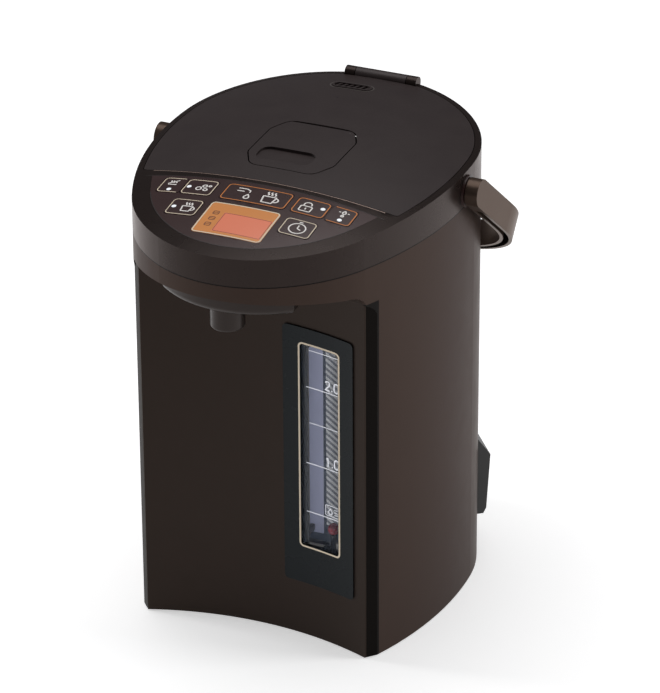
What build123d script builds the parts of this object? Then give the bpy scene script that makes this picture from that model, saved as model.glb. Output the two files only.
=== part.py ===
from build123d import *
import math
import os

# ---------------------------------------------------------------- driving dimensions, millimetres
# Plan of the body: a chain of tangent arcs from the nose round to the back, mirrored left to right.
NOSE_Y = -134.5          # front of the nose
NOSE_R = 75.5
NOSE_SWEEP = 31.2        # degrees turned by the nose arc, each side of the middle
SHOULDER_R = 99.7
SHOULDER_SWEEP = 33.9
SIDE_R = 244.0
SIDE_SWEEP = 30.0

WALL = 2.4               # moulded walls
FIT = 0.3                # gap between pieces that only lie against each other
FOOT_H = 0.8             # how far the feet lift the base
SEAM_Z = 278.0           # seam between the outer shell and the top housing

# Crowned top, tilted up to the rear.
RIM_Z = 300.3            # rim height over the middle of the plan
TOP_TILT = 1.66          # degrees
CROWN = 10.4
CROWN_HALF_X = 100.0
CROWN_HALF_Y = 136.0
TOP_T = 2.6              # thickness of the top plates

# Recess under the nose, where the cup stands.
RECESS_EDGE_X = 76.2     # front corner of the concave panel
RECESS_EDGE_Y = -77.2
RECESS_SAGITTA = 14.2
BEVEL_X = 83.4           # where the bevel beside the panel meets the shell
BEVEL_Y = -69.2
ARCH_R = 14.0            # turn from the panel into the ceiling
ARCH_Z = 246.8
CEILING_SLOPE = 8.8      # degrees the ceiling rises towards the nose
CEILING_Z = 267.2        # lower edge of the nose
BEVEL_ARCH_R = 16.0
BEVEL_TOP_Z = 253.0
PANEL_T = 2.4

# Spout and the moulding that carries it.
SPOUT_Y = -110.0
SPOUT_R = 10.9
SPOUT_BORE = 5.0
SPOUT_TIP_Z = 238.6
UNDER_Z = 254.0
UNDER_HALF_X = 44.0
UNDER_INSET = 9.0
UNDER_BACK_Y = -84.0

# Water gauge in the right half of the panel.
GAUGE_X = 41.6
GAUGE_Z = 130.8
GAUGE_W = 51.8
GAUGE_H = 182.4
GAUGE_PROUD = 1.0
WINDOW_X = 42.0
WINDOW_Z = 138.9
WINDOW_W = 31.0
WINDOW_H = 146.2
TUBE_X = 46.3
TUBE_Y = -56.5
TUBE_R = 6.0
TUBE_BORE = 4.8
TUBE_LOW_Z = 60.0
TUBE_TOP_Z = 238.0
BALL_R = 3.9
BALL_Z = 77.0
BALL_SEAT_R = 2.0
SCALE_Y = -49.0
SCALE_T = 1.0
SCALE_W = 29.0
SCALE_OFF = 5.0          # the card is wider on the side away from the tube

# Container, jacket and lid mouth.
POT_Y = 31.0
POT_R = 76.7
POT_T = 1.0
POT_FLOOR_Z = 72.0
POT_RIM_Z = 260.9
POT_FLANGE_R = 78.0
POT_CORNER_R = 4.0
NECK_R = 67.0
SHOULDER_Z = 240.0
JACKET_R = 80.5
JACKET_T = 3.2
JACKET_LOW_Z = 64.0
DECK_Z = 263.4           # top face of the deck round the mouth
MOUTH_R = 72.0

# Lid.
LID_MARGIN = 4.6
LID_FRONT_Y = -47.5
LID_GAP = 0.45
LID_CORNER_R = 3.0
SKIRT_INSET = 2.0
SHELF_Z = 282.6          # step in the well, above the seam
SKIRT_LOW_Z = 283.6
LINER_R = 69.0
LINER_TOP_R = 71.0
LINER_FLANGE_Z = 281.0
LINER_LOW_Z = 264.4
HINGE_Y = 131.3
HINGE_Z = 304.6
HINGE_R = 4.5
HINGE_HALF = 25.0
HINGE_LID_HALF = 17.6
HINGE_PIN_R = 1.6
PIN_PLAY = 0.06          # radial running clearance of every pin

# Lid lever, latch and steam vent.
LEVER_FRONT_Y = -30.0
LEVER_BACK_Y = 35.0
LEVER_FRONT_HALF = 21.0
LEVER_HALF = 29.0
LEVER_CORNER_R = 9.0
LEVER_GAP = 0.65
LEVER_T = 3.2
LEVER_AXIS_DROP = 2.6
LEVER_HEEL_R = 2.9       # rounding of the lever's heel about its own axis
LEVER_PIN_R = 1.0
WELL_DEPTH = 9.0
BOLT_HALF = 9.0
BOLT_H = 4.0
BOLT_Z = 287.0
BOLT_REACH = 1.9
BOLT_LENGTH = 34.0
SPRING_L = 12.0
VENT_X = -10.0
VENT_Y = 105.0
VENT_L = 28.0
VENT_W = 10.0
VENT_BARS = 6
DUCT_TOP_Z = RIM_Z - 4.3

# Control panel.
PANEL_TIP_X = 82.0
PANEL_REAR_Y = -52.0
PANEL_MARGIN = 11.5
FILM_T = 0.9
KEY_GAP = 0.3
KEY_PROUD = 0.15
KEY_CORNER_R = 2.4
KEY_STEM_R = 2.6
KEY_TRAVEL = 0.6
SWITCH_H = 2.75
ROW_1_Y = -65.6
ROW_2_Y = -89.3
KEY_DEPTH = 17.6
MAIN_KEY_DEPTH = 18.4
DISPLAY_W = 46.0
DISPLAY_D = 34.0
DISPLAY_Y = -96.0
# name: (middle x, middle y, width, depth)
KEYS = {
    "key_pour": (0.0, ROW_1_Y, 43.5, MAIN_KEY_DEPTH),
    "key_lamp_left": (-57.0, ROW_1_Y, 15.6, KEY_DEPTH),
    "key_boil": (-38.3, ROW_1_Y, 20.4, KEY_DEPTH),
    "key_unlock": (36.3, ROW_1_Y, 21.6, KEY_DEPTH),
    "key_slow": (56.4, ROW_1_Y, 16.4, KEY_DEPTH),
    "key_keep_warm": (-37.8, ROW_2_Y, 20.4, KEY_DEPTH),
    "key_timer": (37.8, ROW_2_Y, 20.4, KEY_DEPTH),
}
BOARD_Z = 281.0          # clear of the crossing run of the riser
BOARD_T = 1.6

# Handle: a channel-section bail, folded back.
HUB_Y = 28.0
HUB_Z = 287.4
HUB_PAD_R = 10.2
HUB_PAD_PROUD = 1.6
HUB_PIN_R = 4.0
HUB_PIN_DEPTH = 3.4
HANDLE_OUT_X = 111.0
HANDLE_T = 8.2
HANDLE_W = 18.0
HANDLE_SKIN = 2.2
HANDLE_FOLD = 38.5       # degrees below level, towards the back
HANDLE_CORNER_R = 92.0
HANDLE_CORNER_SWEEP = 72.0
HANDLE_GAP = 3.1         # folded cross bar to the back of the body

# Power inlet, low on the right towards the back.
INLET_HEADING = 128.0    # degrees round from the nose
INLET_W = 36.0
INLET_LOW_Z = 25.0
INLET_TOP_Z = 81.0
INLET_SLOPE = 12.0
INLET_PROUD_TOP = 7.6
INLET_PROUD_LOW = 5.2
SOCKET_W = 22.0
SOCKET_H = 15.0
SOCKET_Z = 48.0
SOCKET_DEPTH = 13.0
CONTACT_R = 1.5
CONTACT_PITCH = 11.0

# Works in the base.
BASE_T = 2.4
PUMP_X = -34.0
PUMP_Y = -22.0
PUMP_LOW_Z = 42.0
PUMP_R = 19.0
PUMP_H = 15.0
MOTOR_R = 15.0
MOTOR_H = 24.0
IMPELLER_R = 13.0
IMPELLER_BLADES = 6
SHAFT_R = 1.5
RISER_X = -40.0
RISER_Y = -57.5
RISER_RISE = 7.0
RISER_DROP = 14.4        # from the crossing run down to the top of the spout
RISER_BEND_R = 7.0
PIPE_R = 5.0
PIPE_BORE = 3.6

TALL = 400.0


# ---------------------------------------------------------------- shared geometry
def arc_chain(first_centre, arcs, inset):
    """Half outline of tangent arcs, the last one centred on the middle plane, as (centre, radius, from, to)."""
    centre = Vector(*first_centre)
    heading = 0.0
    spans = []
    for radius, sweep in arcs:
        spans.append((centre, radius - inset, heading, heading + sweep))
        heading += sweep
        normal = Vector(math.sin(math.radians(heading)), -math.cos(math.radians(heading)))
        following = arcs[len(spans)][0] if len(spans) < len(arcs) else radius + centre.X / normal.X
        centre = centre + normal * (radius - following)
    spans.append((centre, following - inset, heading, 180.0))
    return spans


def on_arc(span, heading):
    centre, radius = span[0], span[1]
    turn = math.radians(heading)
    return Vector(centre.X + radius * math.sin(turn), centre.Y - radius * math.cos(turn))


def arc_edge(span, start, end, side=1):
    points = [on_arc(span, start), on_arc(span, (start + end) / 2), on_arc(span, end)]
    return ThreePointArc(*[(side * p.X, p.Y) for p in points])


def body_spans(inset=0.0):
    arcs = [(NOSE_R, NOSE_SWEEP), (SHOULDER_R, SHOULDER_SWEEP), (SIDE_R, SIDE_SWEEP)]
    return arc_chain((0, NOSE_Y + NOSE_R), arcs, inset)


def body_back():
    """Rearmost point of the body in plan."""
    back = body_spans()[3]
    return on_arc(back, 180.0).Y


def handle_reach():
    """Hub to the outside of the cross bar, so that the folded bar clears the back of the body."""
    fold = math.radians(HANDLE_FOLD)
    level = body_back() - HUB_Y + HANDLE_GAP + HANDLE_W / 2 * math.sin(fold)
    return level / math.cos(fold) + HANDLE_T


def frame_shift():
    """Shift in y that puts the middle of the overall depth on the origin."""
    fold = math.radians(HANDLE_FOLD)
    rear = HUB_Y + handle_reach() * math.cos(fold) + HANDLE_W / 2 * math.sin(fold)
    return -(NOSE_Y + rear) / 2


def outline(inset=0.0):
    """Plan of the body with every wall set in by the same distance."""
    nose, shoulder, side, back = body_spans(inset)
    edges = [arc_edge(nose, -nose[3], nose[3])]
    edges += [arc_edge(s, s[2], s[3]) for s in (shoulder, side)]
    edges += [arc_edge(back, back[2], 360.0 - back[2])]
    edges += [arc_edge(s, s[3], s[2], -1) for s in (side, shoulder)]
    return make_face(Wire(edges))


def prism(face, low, high):
    return Pos(0, 0, low) * extrude(face, high - low)


def crowned(drop=0.0):
    """Everything below the crowned top, lowered by drop."""
    radius_x = (CROWN_HALF_X**2 + CROWN**2) / (2 * CROWN)
    radius_y = (CROWN_HALF_Y**2 + CROWN**2) / (2 * CROWN)
    half, depth, swing = 125.0, 190.0, 12.0
    edge_z = -(radius_x - math.sqrt(radius_x**2 - half**2))
    arc = ThreePointArc((-half, edge_z), (0, 0), (half, edge_z))
    sides = Polyline((half, edge_z), (half, -depth), (-half, -depth), (-half, edge_z))
    profile = Plane.XZ * make_face([arc, sides])
    turned = Axis((0, 0, -radius_y), (1, 0, 0))
    barrel = revolve(profile.rotate(turned, -swing), turned, 2 * swing)
    return Pos(0, 0, RIM_Z + CROWN - drop) * Rot(TOP_TILT, 0, 0) * barrel


def top_z(x, y):
    """Height of the crowned top over a point of the plan."""
    crown = CROWN * (1 - (x / CROWN_HALF_X) ** 2 - (y / CROWN_HALF_Y) ** 2)
    return RIM_Z + crown + math.tan(math.radians(TOP_TILT)) * y


def side_profile(offset):
    """Side view of the recess: front wall, arch and ceiling, moved into the body by offset."""
    wall_y, radius = RECESS_EDGE_Y + offset, ARCH_R + offset
    centre = Vector(RECESS_EDGE_Y - ARCH_R, ARCH_Z)
    slope = math.radians(CEILING_SLOPE)

    def at(turn):
        return centre + Vector(math.cos(turn), math.sin(turn)) * radius

    last = at(math.pi / 2 - slope)
    reach = last.X - NOSE_Y + 10
    far = last + Vector(-reach, reach * math.tan(slope))
    arch = ThreePointArc(at(0), at((math.pi / 2 - slope) / 2), last)
    return make_face([arch, Polyline(last, far, (far.X, -5), (wall_y, -5), at(0))])


def opening_cut(offset=0.0):
    """Space under the nose, up to the straight front edge of the shell and the two bevels."""
    across = Plane.YZ.offset(-120) * side_profile(offset)
    space = extrude(across, 240, dir=(1, 0, 0))
    for side in (-1, 1):
        space += bevel_cut(side, offset)
    return space


def recess(offset=0.0):
    """Space in front of the concave panel and under the nose, grown into the body by offset."""
    radius = (RECESS_EDGE_X**2 + RECESS_SAGITTA**2) / (2 * RECESS_SAGITTA)
    bowl_y = RECESS_EDGE_Y + RECESS_SAGITTA - radius
    bowl = Pos(0, bowl_y, -5) * Cylinder(radius + offset, BEVEL_TOP_Z + 5 + offset,
                                         align=(Align.CENTER, Align.CENTER, Align.MIN))
    reach = Pos(0, RECESS_EDGE_Y, -5) * Box(2 * RECESS_EDGE_X, 80, TALL,
                                            align=(Align.CENTER, Align.CENTER, Align.MIN))
    return opening_cut(offset) + (bowl & reach)


def bevel_cut(side, offset):
    """Cutter for the bevel that runs up beside the panel and out under the arch."""
    run = Vector(RECESS_EDGE_X - BEVEL_X, RECESS_EDGE_Y - BEVEL_Y).normalized()
    out = Vector(-run.Y, run.X)
    plane = Plane(origin=(BEVEL_X - out.X * offset, BEVEL_Y - out.Y * offset, 0),
                  x_dir=(run.X, run.Y, 0), z_dir=(out.X, out.Y, 0))
    radius, low = BEVEL_ARCH_R + offset, BEVEL_TOP_Z - BEVEL_ARCH_R
    middle = BEVEL_ARCH_R
    corner = radius * math.sqrt(0.5)
    arch = ThreePointArc((-offset, low), (middle - corner, low + corner), (middle, low + radius))
    rest = Polyline((middle, low + radius), (30, low + radius), (30, -5), (-8, -5), (-8, low), (-offset, low))
    shape = make_face([arch, rest])
    if plane.y_dir.Z < 0:
        shape = mirror(shape, Plane.XZ)
    cutter = extrude(plane * shape, 40)
    return cutter if side > 0 else mirror(cutter, Plane.YZ)


def bowl_band(inner, outer):
    """Vertical band that follows the concave panel, between two distances in front of its face."""
    radius = (RECESS_EDGE_X**2 + RECESS_SAGITTA**2) / (2 * RECESS_SAGITTA)
    centre_y = RECESS_EDGE_Y + RECESS_SAGITTA - radius
    high = Pos(0, centre_y) * extrude(Circle(radius - inner) - Circle(radius - outer), TALL)
    return high & Pos(0, RECESS_EDGE_Y) * Box(2 * RECESS_EDGE_X, 80, 2 * TALL)


def frontal(width, height, radius, x, z):
    """Rounded rectangle seen from the front, run through the panel from front to back."""
    face = Plane.XZ * Pos(x, z) * RectangleRounded(width, height, radius)
    return extrude(face, 140, dir=(0, -1, 0))


def tube(outer, inner, low, high, x=0.0, y=0.0):
    return Pos(x, y, low) * extrude(Circle(outer) - Circle(inner), high - low)


def disc(radius, low, high, x=0.0, y=0.0):
    return Pos(x, y, low) * extrude(Circle(radius), high - low)


def lid_plan(inset):
    """Plan of the lid: the body outline set in, cut straight across in front."""
    face = outline(LID_MARGIN + inset) & Pos(0, LID_FRONT_Y + inset) * Rectangle(
        300, 400, align=(Align.CENTER, Align.MIN))
    corners = face.vertices().sort_by(Axis.Y)[:2]
    return fillet(corners, LID_CORNER_R)


def lever_plan(grow=0.0):
    """Plan of the lid lever: wider behind its cut-back front corners."""
    half, front = LEVER_HALF + grow, LEVER_FRONT_HALF + grow * 0.7
    y0, y1 = LEVER_FRONT_Y - grow, LEVER_BACK_Y + grow
    knee = y0 + 16.0
    rear = half - 7.0
    points = [(front, y0), (half, knee), (half, y1 - 15.0), (rear, y1)]
    ring = points + [(-x, y) for x, y in reversed(points)]
    face = make_face(Polyline(*ring, close=True))
    return fillet(face.vertices(), LEVER_CORNER_R)


def key_plan(name, grow=0.0):
    x, y, width, depth = KEYS[name]
    return Pos(x, y) * RectangleRounded(width + 2 * grow, depth + 2 * grow, KEY_CORNER_R)


def display_plan(grow=0.0):
    return Pos(0, DISPLAY_Y) * RectangleRounded(DISPLAY_W + 2 * grow, DISPLAY_D + 2 * grow, 3.0)


def panel_plan(grow=0.0):
    """Lens-shaped control panel: the nose outline set in, closed by a slack arc behind."""
    front = outline(PANEL_MARGIN - grow)
    tip = PANEL_TIP_X + grow
    back = PANEL_REAR_Y + grow
    arc = ThreePointArc((-tip, back - 3.0), (0, back), (tip, back - 3.0))
    closed = make_face([arc, Polyline((tip, back - 3.0), (tip, -200), (-tip, -200), (-tip, back - 3.0))])
    return front & closed


# ---------------------------------------------------------------- casing
def outer_shell():
    shell = prism(outline() - outline(WALL), FOOT_H, SEAM_Z) - opening_cut()
    opening = extrude(Rectangle(INLET_W - 3, INLET_TOP_Z - INLET_LOW_Z - 2 * INLET_SLOPE), 20, both=True)
    shell -= inlet_frame() * opening
    rib = prism(outline(WALL + FIT / 3) - outline(WALL + 1.8), SEAM_Z - 4.0, SEAM_Z + 2.0)
    root = prism(outline(WALL / 2) - outline(WALL + 1.8), SEAM_Z - 4.0, SEAM_Z)
    front = prism(Pos(0, NOSE_Y - 10) * Rectangle(400, 140), 0, TALL)
    return shell + (rib - front) + (root - front)


def front_panel():
    core = prism(outline(WALL + FIT / 2), FOOT_H, SEAM_Z - 6.0)
    skin = core & (recess(PANEL_T) - recess(0))
    skin -= frontal(WINDOW_W + 2, WINDOW_H + 2, 3.0, WINDOW_X, WINDOW_Z)
    skin -= disc(PIPE_R + FIT, UNDER_Z, TALL, 0, SPOUT_Y)
    return skin


def spout_housing():
    plan = outline(UNDER_INSET) & Pos(0, UNDER_BACK_Y) * Rectangle(
        2 * UNDER_HALF_X, 120, align=(Align.CENTER, Align.MAX))
    plan = fillet(plan.vertices().sort_by(Axis.Y)[-2:], 12.0)
    block = prism(plan, UNDER_Z, CEILING_Z + 1)
    block = fillet(block.faces().sort_by(Axis.Z)[0].edges(), 4.0)
    block &= Pos(0, 0, -FIT / 3) * recess()
    web = Plane.YZ.offset(-2.0) * make_face(Polyline((SPOUT_Y + 5, UNDER_Z + 3), (SPOUT_Y + 22, UNDER_Z + 3),
                                                     (SPOUT_Y + 8, SPOUT_TIP_Z + 5), (SPOUT_Y + 5, SPOUT_TIP_Z + 5),
                                                     close=True))
    block += extrude(web, 4.0, dir=(1, 0, 0))
    return block - disc(SPOUT_R + FIT / 3, 200, UNDER_Z + 6 + FIT / 3, 0, SPOUT_Y) - disc(PIPE_R + FIT, 200, TALL, 0, SPOUT_Y)


def spout():
    body = tube(SPOUT_R, SPOUT_BORE, SPOUT_TIP_Z, UNDER_Z + 6, 0, SPOUT_Y)
    tip = body.edges().filter_by(GeomType.CIRCLE).group_by(Axis.Z)[0]
    return fillet(tip, 1.8)


def top_housing():
    ring = (prism(outline(), SEAM_Z, TALL) & crowned()) - (prism(outline(WALL), SEAM_Z - 1, TALL) & crowned(TOP_T))
    ring -= prism(lid_plan(-LID_GAP), SEAM_Z, TALL)
    ring += prism(lid_plan(-LID_GAP - WALL) - lid_plan(-LID_GAP), SHELF_Z - WALL, TALL) & crowned()
    ring += prism(lid_plan(-LID_GAP - WALL) - lid_plan(WALL), SHELF_Z - WALL, SHELF_Z)
    ring += prism(lid_plan(0) - lid_plan(WALL), DECK_Z - WALL, SHELF_Z)
    ring += prism(lid_plan(0), DECK_Z - WALL, DECK_Z) - disc(MOUTH_R, 0, TALL, 0, POT_Y)
    ring -= prism(panel_plan(FIT / 2), 200, TALL) - crowned(FILM_T + FIT / 3)
    for name in KEYS:
        x, y = KEYS[name][:2]
        ring -= disc(KEY_STEM_R + KEY_GAP, BOARD_Z, TALL, x, y)
    ring -= prism(display_plan(-3.0), BOARD_Z, TALL)
    ring -= hinge_axis() * Cylinder(HINGE_R + 0.5, 2 * HINGE_LID_HALF + 1.0)
    ring += hinge_ears()
    for x, y in board_posts():
        ring += disc(3.0, BOARD_Z + BOARD_T, TALL, x, y) & crowned(FILM_T + 1.2)
    for side in (-1, 1):
        ring -= hub_frame(side) * extrude(Circle(HUB_PIN_R + FIT / 6), HUB_PIN_DEPTH + FIT, both=True)
    return ring - hinge_axis() * Cylinder(HINGE_PIN_R + 0.02, 2 * HINGE_HALF - 3)


def board_posts():
    return [(side * 57.0, y) for side in (-1, 1) for y in (-76.5, -58.0)]


def hinge_axis():
    return Pos(0, HINGE_Y, HINGE_Z) * Rot(0, 90, 0)


def hinge_ears():
    knuckle = hinge_axis() * Cylinder(HINGE_R, 2 * HINGE_HALF)
    saddle = Pos(0, HINGE_Y + 1.4, HINGE_Z - HINGE_R) * Box(2 * HINGE_HALF, 5.8, 2 * HINGE_R)
    body = knuckle + (saddle & prism(outline(), SEAM_Z, TALL))
    body -= Pos(0, HINGE_Y, HINGE_Z) * Box(2 * HINGE_LID_HALF + 1.0, 4 * HINGE_R, 6 * HINGE_R)
    return body


def hub_frame(side):
    """Plane at a handle pivot, looking outwards."""
    return Plane(origin=(side * flank_x(HUB_Y), HUB_Y, HUB_Z), x_dir=(0, side, 0), z_dir=(side, 0, 0))


def flank_x(y):
    """Half width of the body where its side arc passes y."""
    side = body_spans()[2]
    return side[0].X + math.sqrt(side[1] ** 2 - (y - side[0].Y) ** 2)


def handle_pivot(side):
    pad = hub_frame(side) * extrude(Circle(HUB_PAD_R), HUB_PAD_PROUD + 3.0, both=True)
    pad &= prism(outline(-HUB_PAD_PROUD) - outline(-FIT / 10), 0, TALL)
    length = HUB_PIN_DEPTH + HANDLE_OUT_X - HANDLE_SKIN - FIT - flank_x(HUB_Y)
    return pad + hub_frame(side) * Pos(0, 0, -HUB_PIN_DEPTH) * extrude(Circle(HUB_PIN_R), length)


# ---------------------------------------------------------------- controls
def control_film():
    film = prism(panel_plan(), 200, TALL) & (crowned() - crowned(FILM_T))
    for name in KEYS:
        film -= prism(key_plan(name, KEY_GAP), 200, TALL)
    return film - prism(display_plan(FIT / 2), 200, TALL)


def display_lens():
    return prism(display_plan(), 200, TALL) & (crowned() - crowned(FILM_T))


def display_module():
    low = BOARD_Z + BOARD_T
    return prism(display_plan(-4.0), low, TALL) & crowned(FILM_T + 1.6)


def control_key(name):
    plate = prism(key_plan(name), 200, TALL) & (crowned(-KEY_PROUD) - crowned(FILM_T - KEY_TRAVEL + FIT / 3 - 0.05))
    x, y = KEYS[name][:2]
    stem = disc(KEY_STEM_R, BOARD_Z + BOARD_T + SWITCH_H + KEY_TRAVEL + 0.05, TALL, x, y) & crowned()
    return plate + stem


def control_board():
    plan = outline(PANEL_MARGIN - 3) & Pos(0, -56) * Rectangle(138, 120, align=(Align.CENTER, Align.MAX))
    plan = plan - Pos(0, -136) * Rectangle(200, 40)
    return prism(plan, BOARD_Z, BOARD_Z + BOARD_T)


def key_switches():
    low = BOARD_Z + BOARD_T
    group = []
    for x, y, width, depth in KEYS.values():
        body = Pos(x, y, low) * Box(6.0, 6.0, SWITCH_H - 0.2, align=(Align.CENTER, Align.CENTER, Align.MIN))
        group.append(body + disc(1.6, low + 1, low + SWITCH_H, x, y))
    return Compound(group)


# ---------------------------------------------------------------- water gauge
def gauge_cover():
    frame = frontal(GAUGE_W, GAUGE_H, 3.0, GAUGE_X, GAUGE_Z) & bowl_band(FIT / 3, GAUGE_PROUD)
    return frame - frontal(WINDOW_W - 3, WINDOW_H - 3, 2.5, WINDOW_X, WINDOW_Z)


def gauge_window():
    inner = frontal(WINDOW_W + 1.4, WINDOW_H + 1.4, 2.8, WINDOW_X, WINDOW_Z)
    return inner & bowl_band(-1.5, -FIT / 10)


def gauge_tube():
    return tube(TUBE_R, TUBE_BORE, TUBE_LOW_Z, TUBE_TOP_Z, TUBE_X, TUBE_Y)


def gauge_fittings():
    cap = disc(TUBE_R + 1.6, TUBE_TOP_Z - 8, TUBE_TOP_Z + 4, TUBE_X, TUBE_Y)
    cap -= disc(TUBE_R + PIN_PLAY, 0, TUBE_TOP_Z, TUBE_X, TUBE_Y) + disc(2.0, 0, TALL, TUBE_X, TUBE_Y)
    foot = disc(TUBE_R + 1.6, TUBE_LOW_Z - 10, TUBE_LOW_Z + 2.4, TUBE_X, TUBE_Y)
    foot -= disc(TUBE_R + PIN_PLAY, TUBE_LOW_Z, TALL, TUBE_X, TUBE_Y)
    stem = disc(BALL_SEAT_R, TUBE_LOW_Z - 4, BALL_Z - BALL_R + 0.1, TUBE_X, TUBE_Y)
    target = Vector(0, POT_Y, 0) - Vector(TUBE_X, TUBE_Y, 0)
    heading = math.degrees(math.atan2(target.Y, target.X))
    feed = Pos(TUBE_X, TUBE_Y, TUBE_LOW_Z - 5) * Rot(0, 0, heading) * Rot(0, 90, 0) * extrude(
        Circle(PIPE_R - 1) - Circle(2.6), 40)
    rise = disc(PIPE_R - 1.6, TUBE_LOW_Z - 7, POT_FLOOR_Z - POT_T - FIT / 2)
    spot = Vector(TUBE_X, TUBE_Y) + target.normalized() * 38
    foot += feed + stem + Pos(spot.X, spot.Y) * rise
    return Compound([cap, foot])


def gauge_scale():
    plate = Pos(TUBE_X - SCALE_OFF, SCALE_Y, WINDOW_Z) * Box(SCALE_W, SCALE_T, WINDOW_H + 6)
    return plate


def gauge_brackets():
    group = []
    for z in (WINDOW_Z - WINDOW_H / 2 + 6, WINDOW_Z + WINDOW_H / 2 - 6):
        for x in (TUBE_X - SCALE_OFF - SCALE_W / 2 + 2.0, TUBE_X - SCALE_OFF + SCALE_W / 2 - 2.0):
            bar = Pos(x, SCALE_Y - SCALE_T / 2 - FIT / 3, z) * Box(3.0, 40, 4.0, align=(Align.CENTER, Align.MAX, Align.CENTER))
            group.append(bar - recess(PANEL_T + FIT / 3))
    return Compound(group)


def level_ball():
    return Pos(TUBE_X, TUBE_Y, BALL_Z + FIT) * Sphere(BALL_R)


# ---------------------------------------------------------------- container and works
def inner_container():
    r, t, neck = POT_R, POT_T, NECK_R
    floor, top = POT_FLOOR_Z, POT_RIM_Z
    outside = make_face(Polyline((0, floor - t), (r + t, floor - t), (r + t, SHOULDER_Z), (neck + t, SHOULDER_Z + 12),
                                 (neck + t, top - t), (POT_FLANGE_R, top - t), (POT_FLANGE_R, top), (0, top), close=True))
    inside = make_face(Polyline((0, floor), (r, floor), (r, SHOULDER_Z), (neck, SHOULDER_Z + 12), (neck, top + 5),
                                (0, top + 5), close=True))
    outside = round_at(outside, (r + t, floor - t), POT_CORNER_R)
    inside = round_at(inside, (r, floor), POT_CORNER_R - t)
    return Pos(0, POT_Y) * revolve(Plane.XZ * (outside - inside), Axis.Z)


def round_at(face, corner, radius):
    picked = [v for v in face.vertices() if abs(v.X - corner[0]) < 0.01 and abs(v.Y - corner[1]) < 0.01]
    return fillet(picked, radius)


def insulation_jacket():
    high = POT_RIM_Z - POT_T - FIT
    return tube(JACKET_R + JACKET_T, JACKET_R, JACKET_LOW_Z, high, 0, POT_Y)


def heater_plate():
    high = POT_FLOOR_Z - POT_T
    plate = disc(56.0, high - 2.5, high, 0, POT_Y) - disc(9.0, 0, TALL, 0, POT_Y)
    ring = Pos(0, POT_Y, high - 5.4) * Torus(40.0, 3.2)
    return plate + ring


def thermistor():
    high = POT_FLOOR_Z - POT_T
    return disc(6.0, high - 12.0, high, 0, POT_Y) + disc(8.0, high - 14.0, high - 10.5, 0, POT_Y)


def pot_support():
    """Ring and three legs that carry the container and jacket from the base."""
    low, high = FOOT_H + BASE_T, JACKET_LOW_Z
    ring = tube(JACKET_R + JACKET_T, JACKET_R - 6, high - 4, high, 0, POT_Y)
    for turn in (90.0, 210.0, 330.0):
        leg = Pos(0, POT_Y) * Rot(0, 0, turn) * Pos(JACKET_R - 1, 0, low) * Box(
            5, 18, high - low, align=(Align.CENTER, Align.CENTER, Align.MIN))
        ring += leg
    return ring


def riser_heading():
    """Direction from the pump to the foot of the riser."""
    return Vector(RISER_X - PUMP_X, RISER_Y - PUMP_Y, 0).normalized()


def pump_housing():
    low = PUMP_LOW_Z
    shell = disc(PUMP_R, low, low + PUMP_H, PUMP_X, PUMP_Y)
    shell -= disc(PUMP_R - 3, low + 2, low + PUMP_H - 2.4, PUMP_X, PUMP_Y)
    inlet = tube(PIPE_R, PIPE_BORE, low + PUMP_H - 1, POT_FLOOR_Z - POT_T - FIT / 2, PUMP_X, PUMP_Y)
    shell -= disc(PIPE_BORE, low + PUMP_H - 3, TALL, PUMP_X, PUMP_Y)
    for turn in (30.0, 150.0, 270.0):
        leg = Rot(0, 0, turn) * Pos(PUMP_R - 2, 0, FOOT_H + BASE_T) * Box(
            3.6, 7, low - FOOT_H - BASE_T + 1, align=(Align.CENTER, Align.CENTER, Align.MIN))
        shell += Pos(PUMP_X, PUMP_Y) * leg
    port = Plane(origin=(PUMP_X, PUMP_Y, low + RISER_RISE), z_dir=riser_heading())
    axle = disc(SHAFT_R, low + 1, low + PUMP_H - 4, PUMP_X, PUMP_Y)
    return shell - port * extrude(Circle(PIPE_BORE), PUMP_R + 2) + inlet + axle


def impeller():
    low = PUMP_LOW_Z + 2 + FIT
    hub = disc(4.0, low, low + 7, PUMP_X, PUMP_Y) + disc(IMPELLER_R, low, low + 2.0, PUMP_X, PUMP_Y)
    for i in range(IMPELLER_BLADES):
        blade = Rot(0, 0, i * 360 / IMPELLER_BLADES) * Pos(7.5, 0, low + 3.5) * Rot(0, 0, 28) * Box(9.5, 1.2, 5)
        hub += Pos(PUMP_X, PUMP_Y) * blade
    return hub - disc(SHAFT_R + PIN_PLAY, 0, TALL, PUMP_X, PUMP_Y)


def pump_motor():
    high = PUMP_LOW_Z - 7.0
    can = disc(MOTOR_R, high - MOTOR_H, high, PUMP_X, PUMP_Y)
    shaft_hole = disc(SHAFT_R + PIN_PLAY, high - 8, TALL, PUMP_X, PUMP_Y)
    base = disc(MOTOR_R - 4, FOOT_H + BASE_T, high - MOTOR_H + 0.5, PUMP_X, PUMP_Y)
    return can + base - shaft_hole


def drive_magnet():
    high = PUMP_LOW_Z - FIT
    cup = disc(IMPELLER_R - 1.5, high - 5.5, high, PUMP_X, PUMP_Y)
    return cup + disc(SHAFT_R, PUMP_LOW_Z - 14.5, high, PUMP_X, PUMP_Y)


def riser_pipe():
    low, high = PUMP_LOW_Z + RISER_RISE, UNDER_Z + 6 + FIT / 3 + RISER_DROP
    start = Vector(PUMP_X, PUMP_Y, low) + riser_heading() * (PUMP_R + FIT)
    path = FilletPolyline(start, (RISER_X, RISER_Y, low), (RISER_X, RISER_Y, high),
                          (0, SPOUT_Y, high), (0, SPOUT_Y, UNDER_Z + 6 + FIT / 3), radius=RISER_BEND_R)
    first = Plane(origin=path @ 0, z_dir=path % 0)
    return sweep(first * Circle(PIPE_R), path) - sweep(first * Circle(PIPE_BORE), path)


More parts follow.
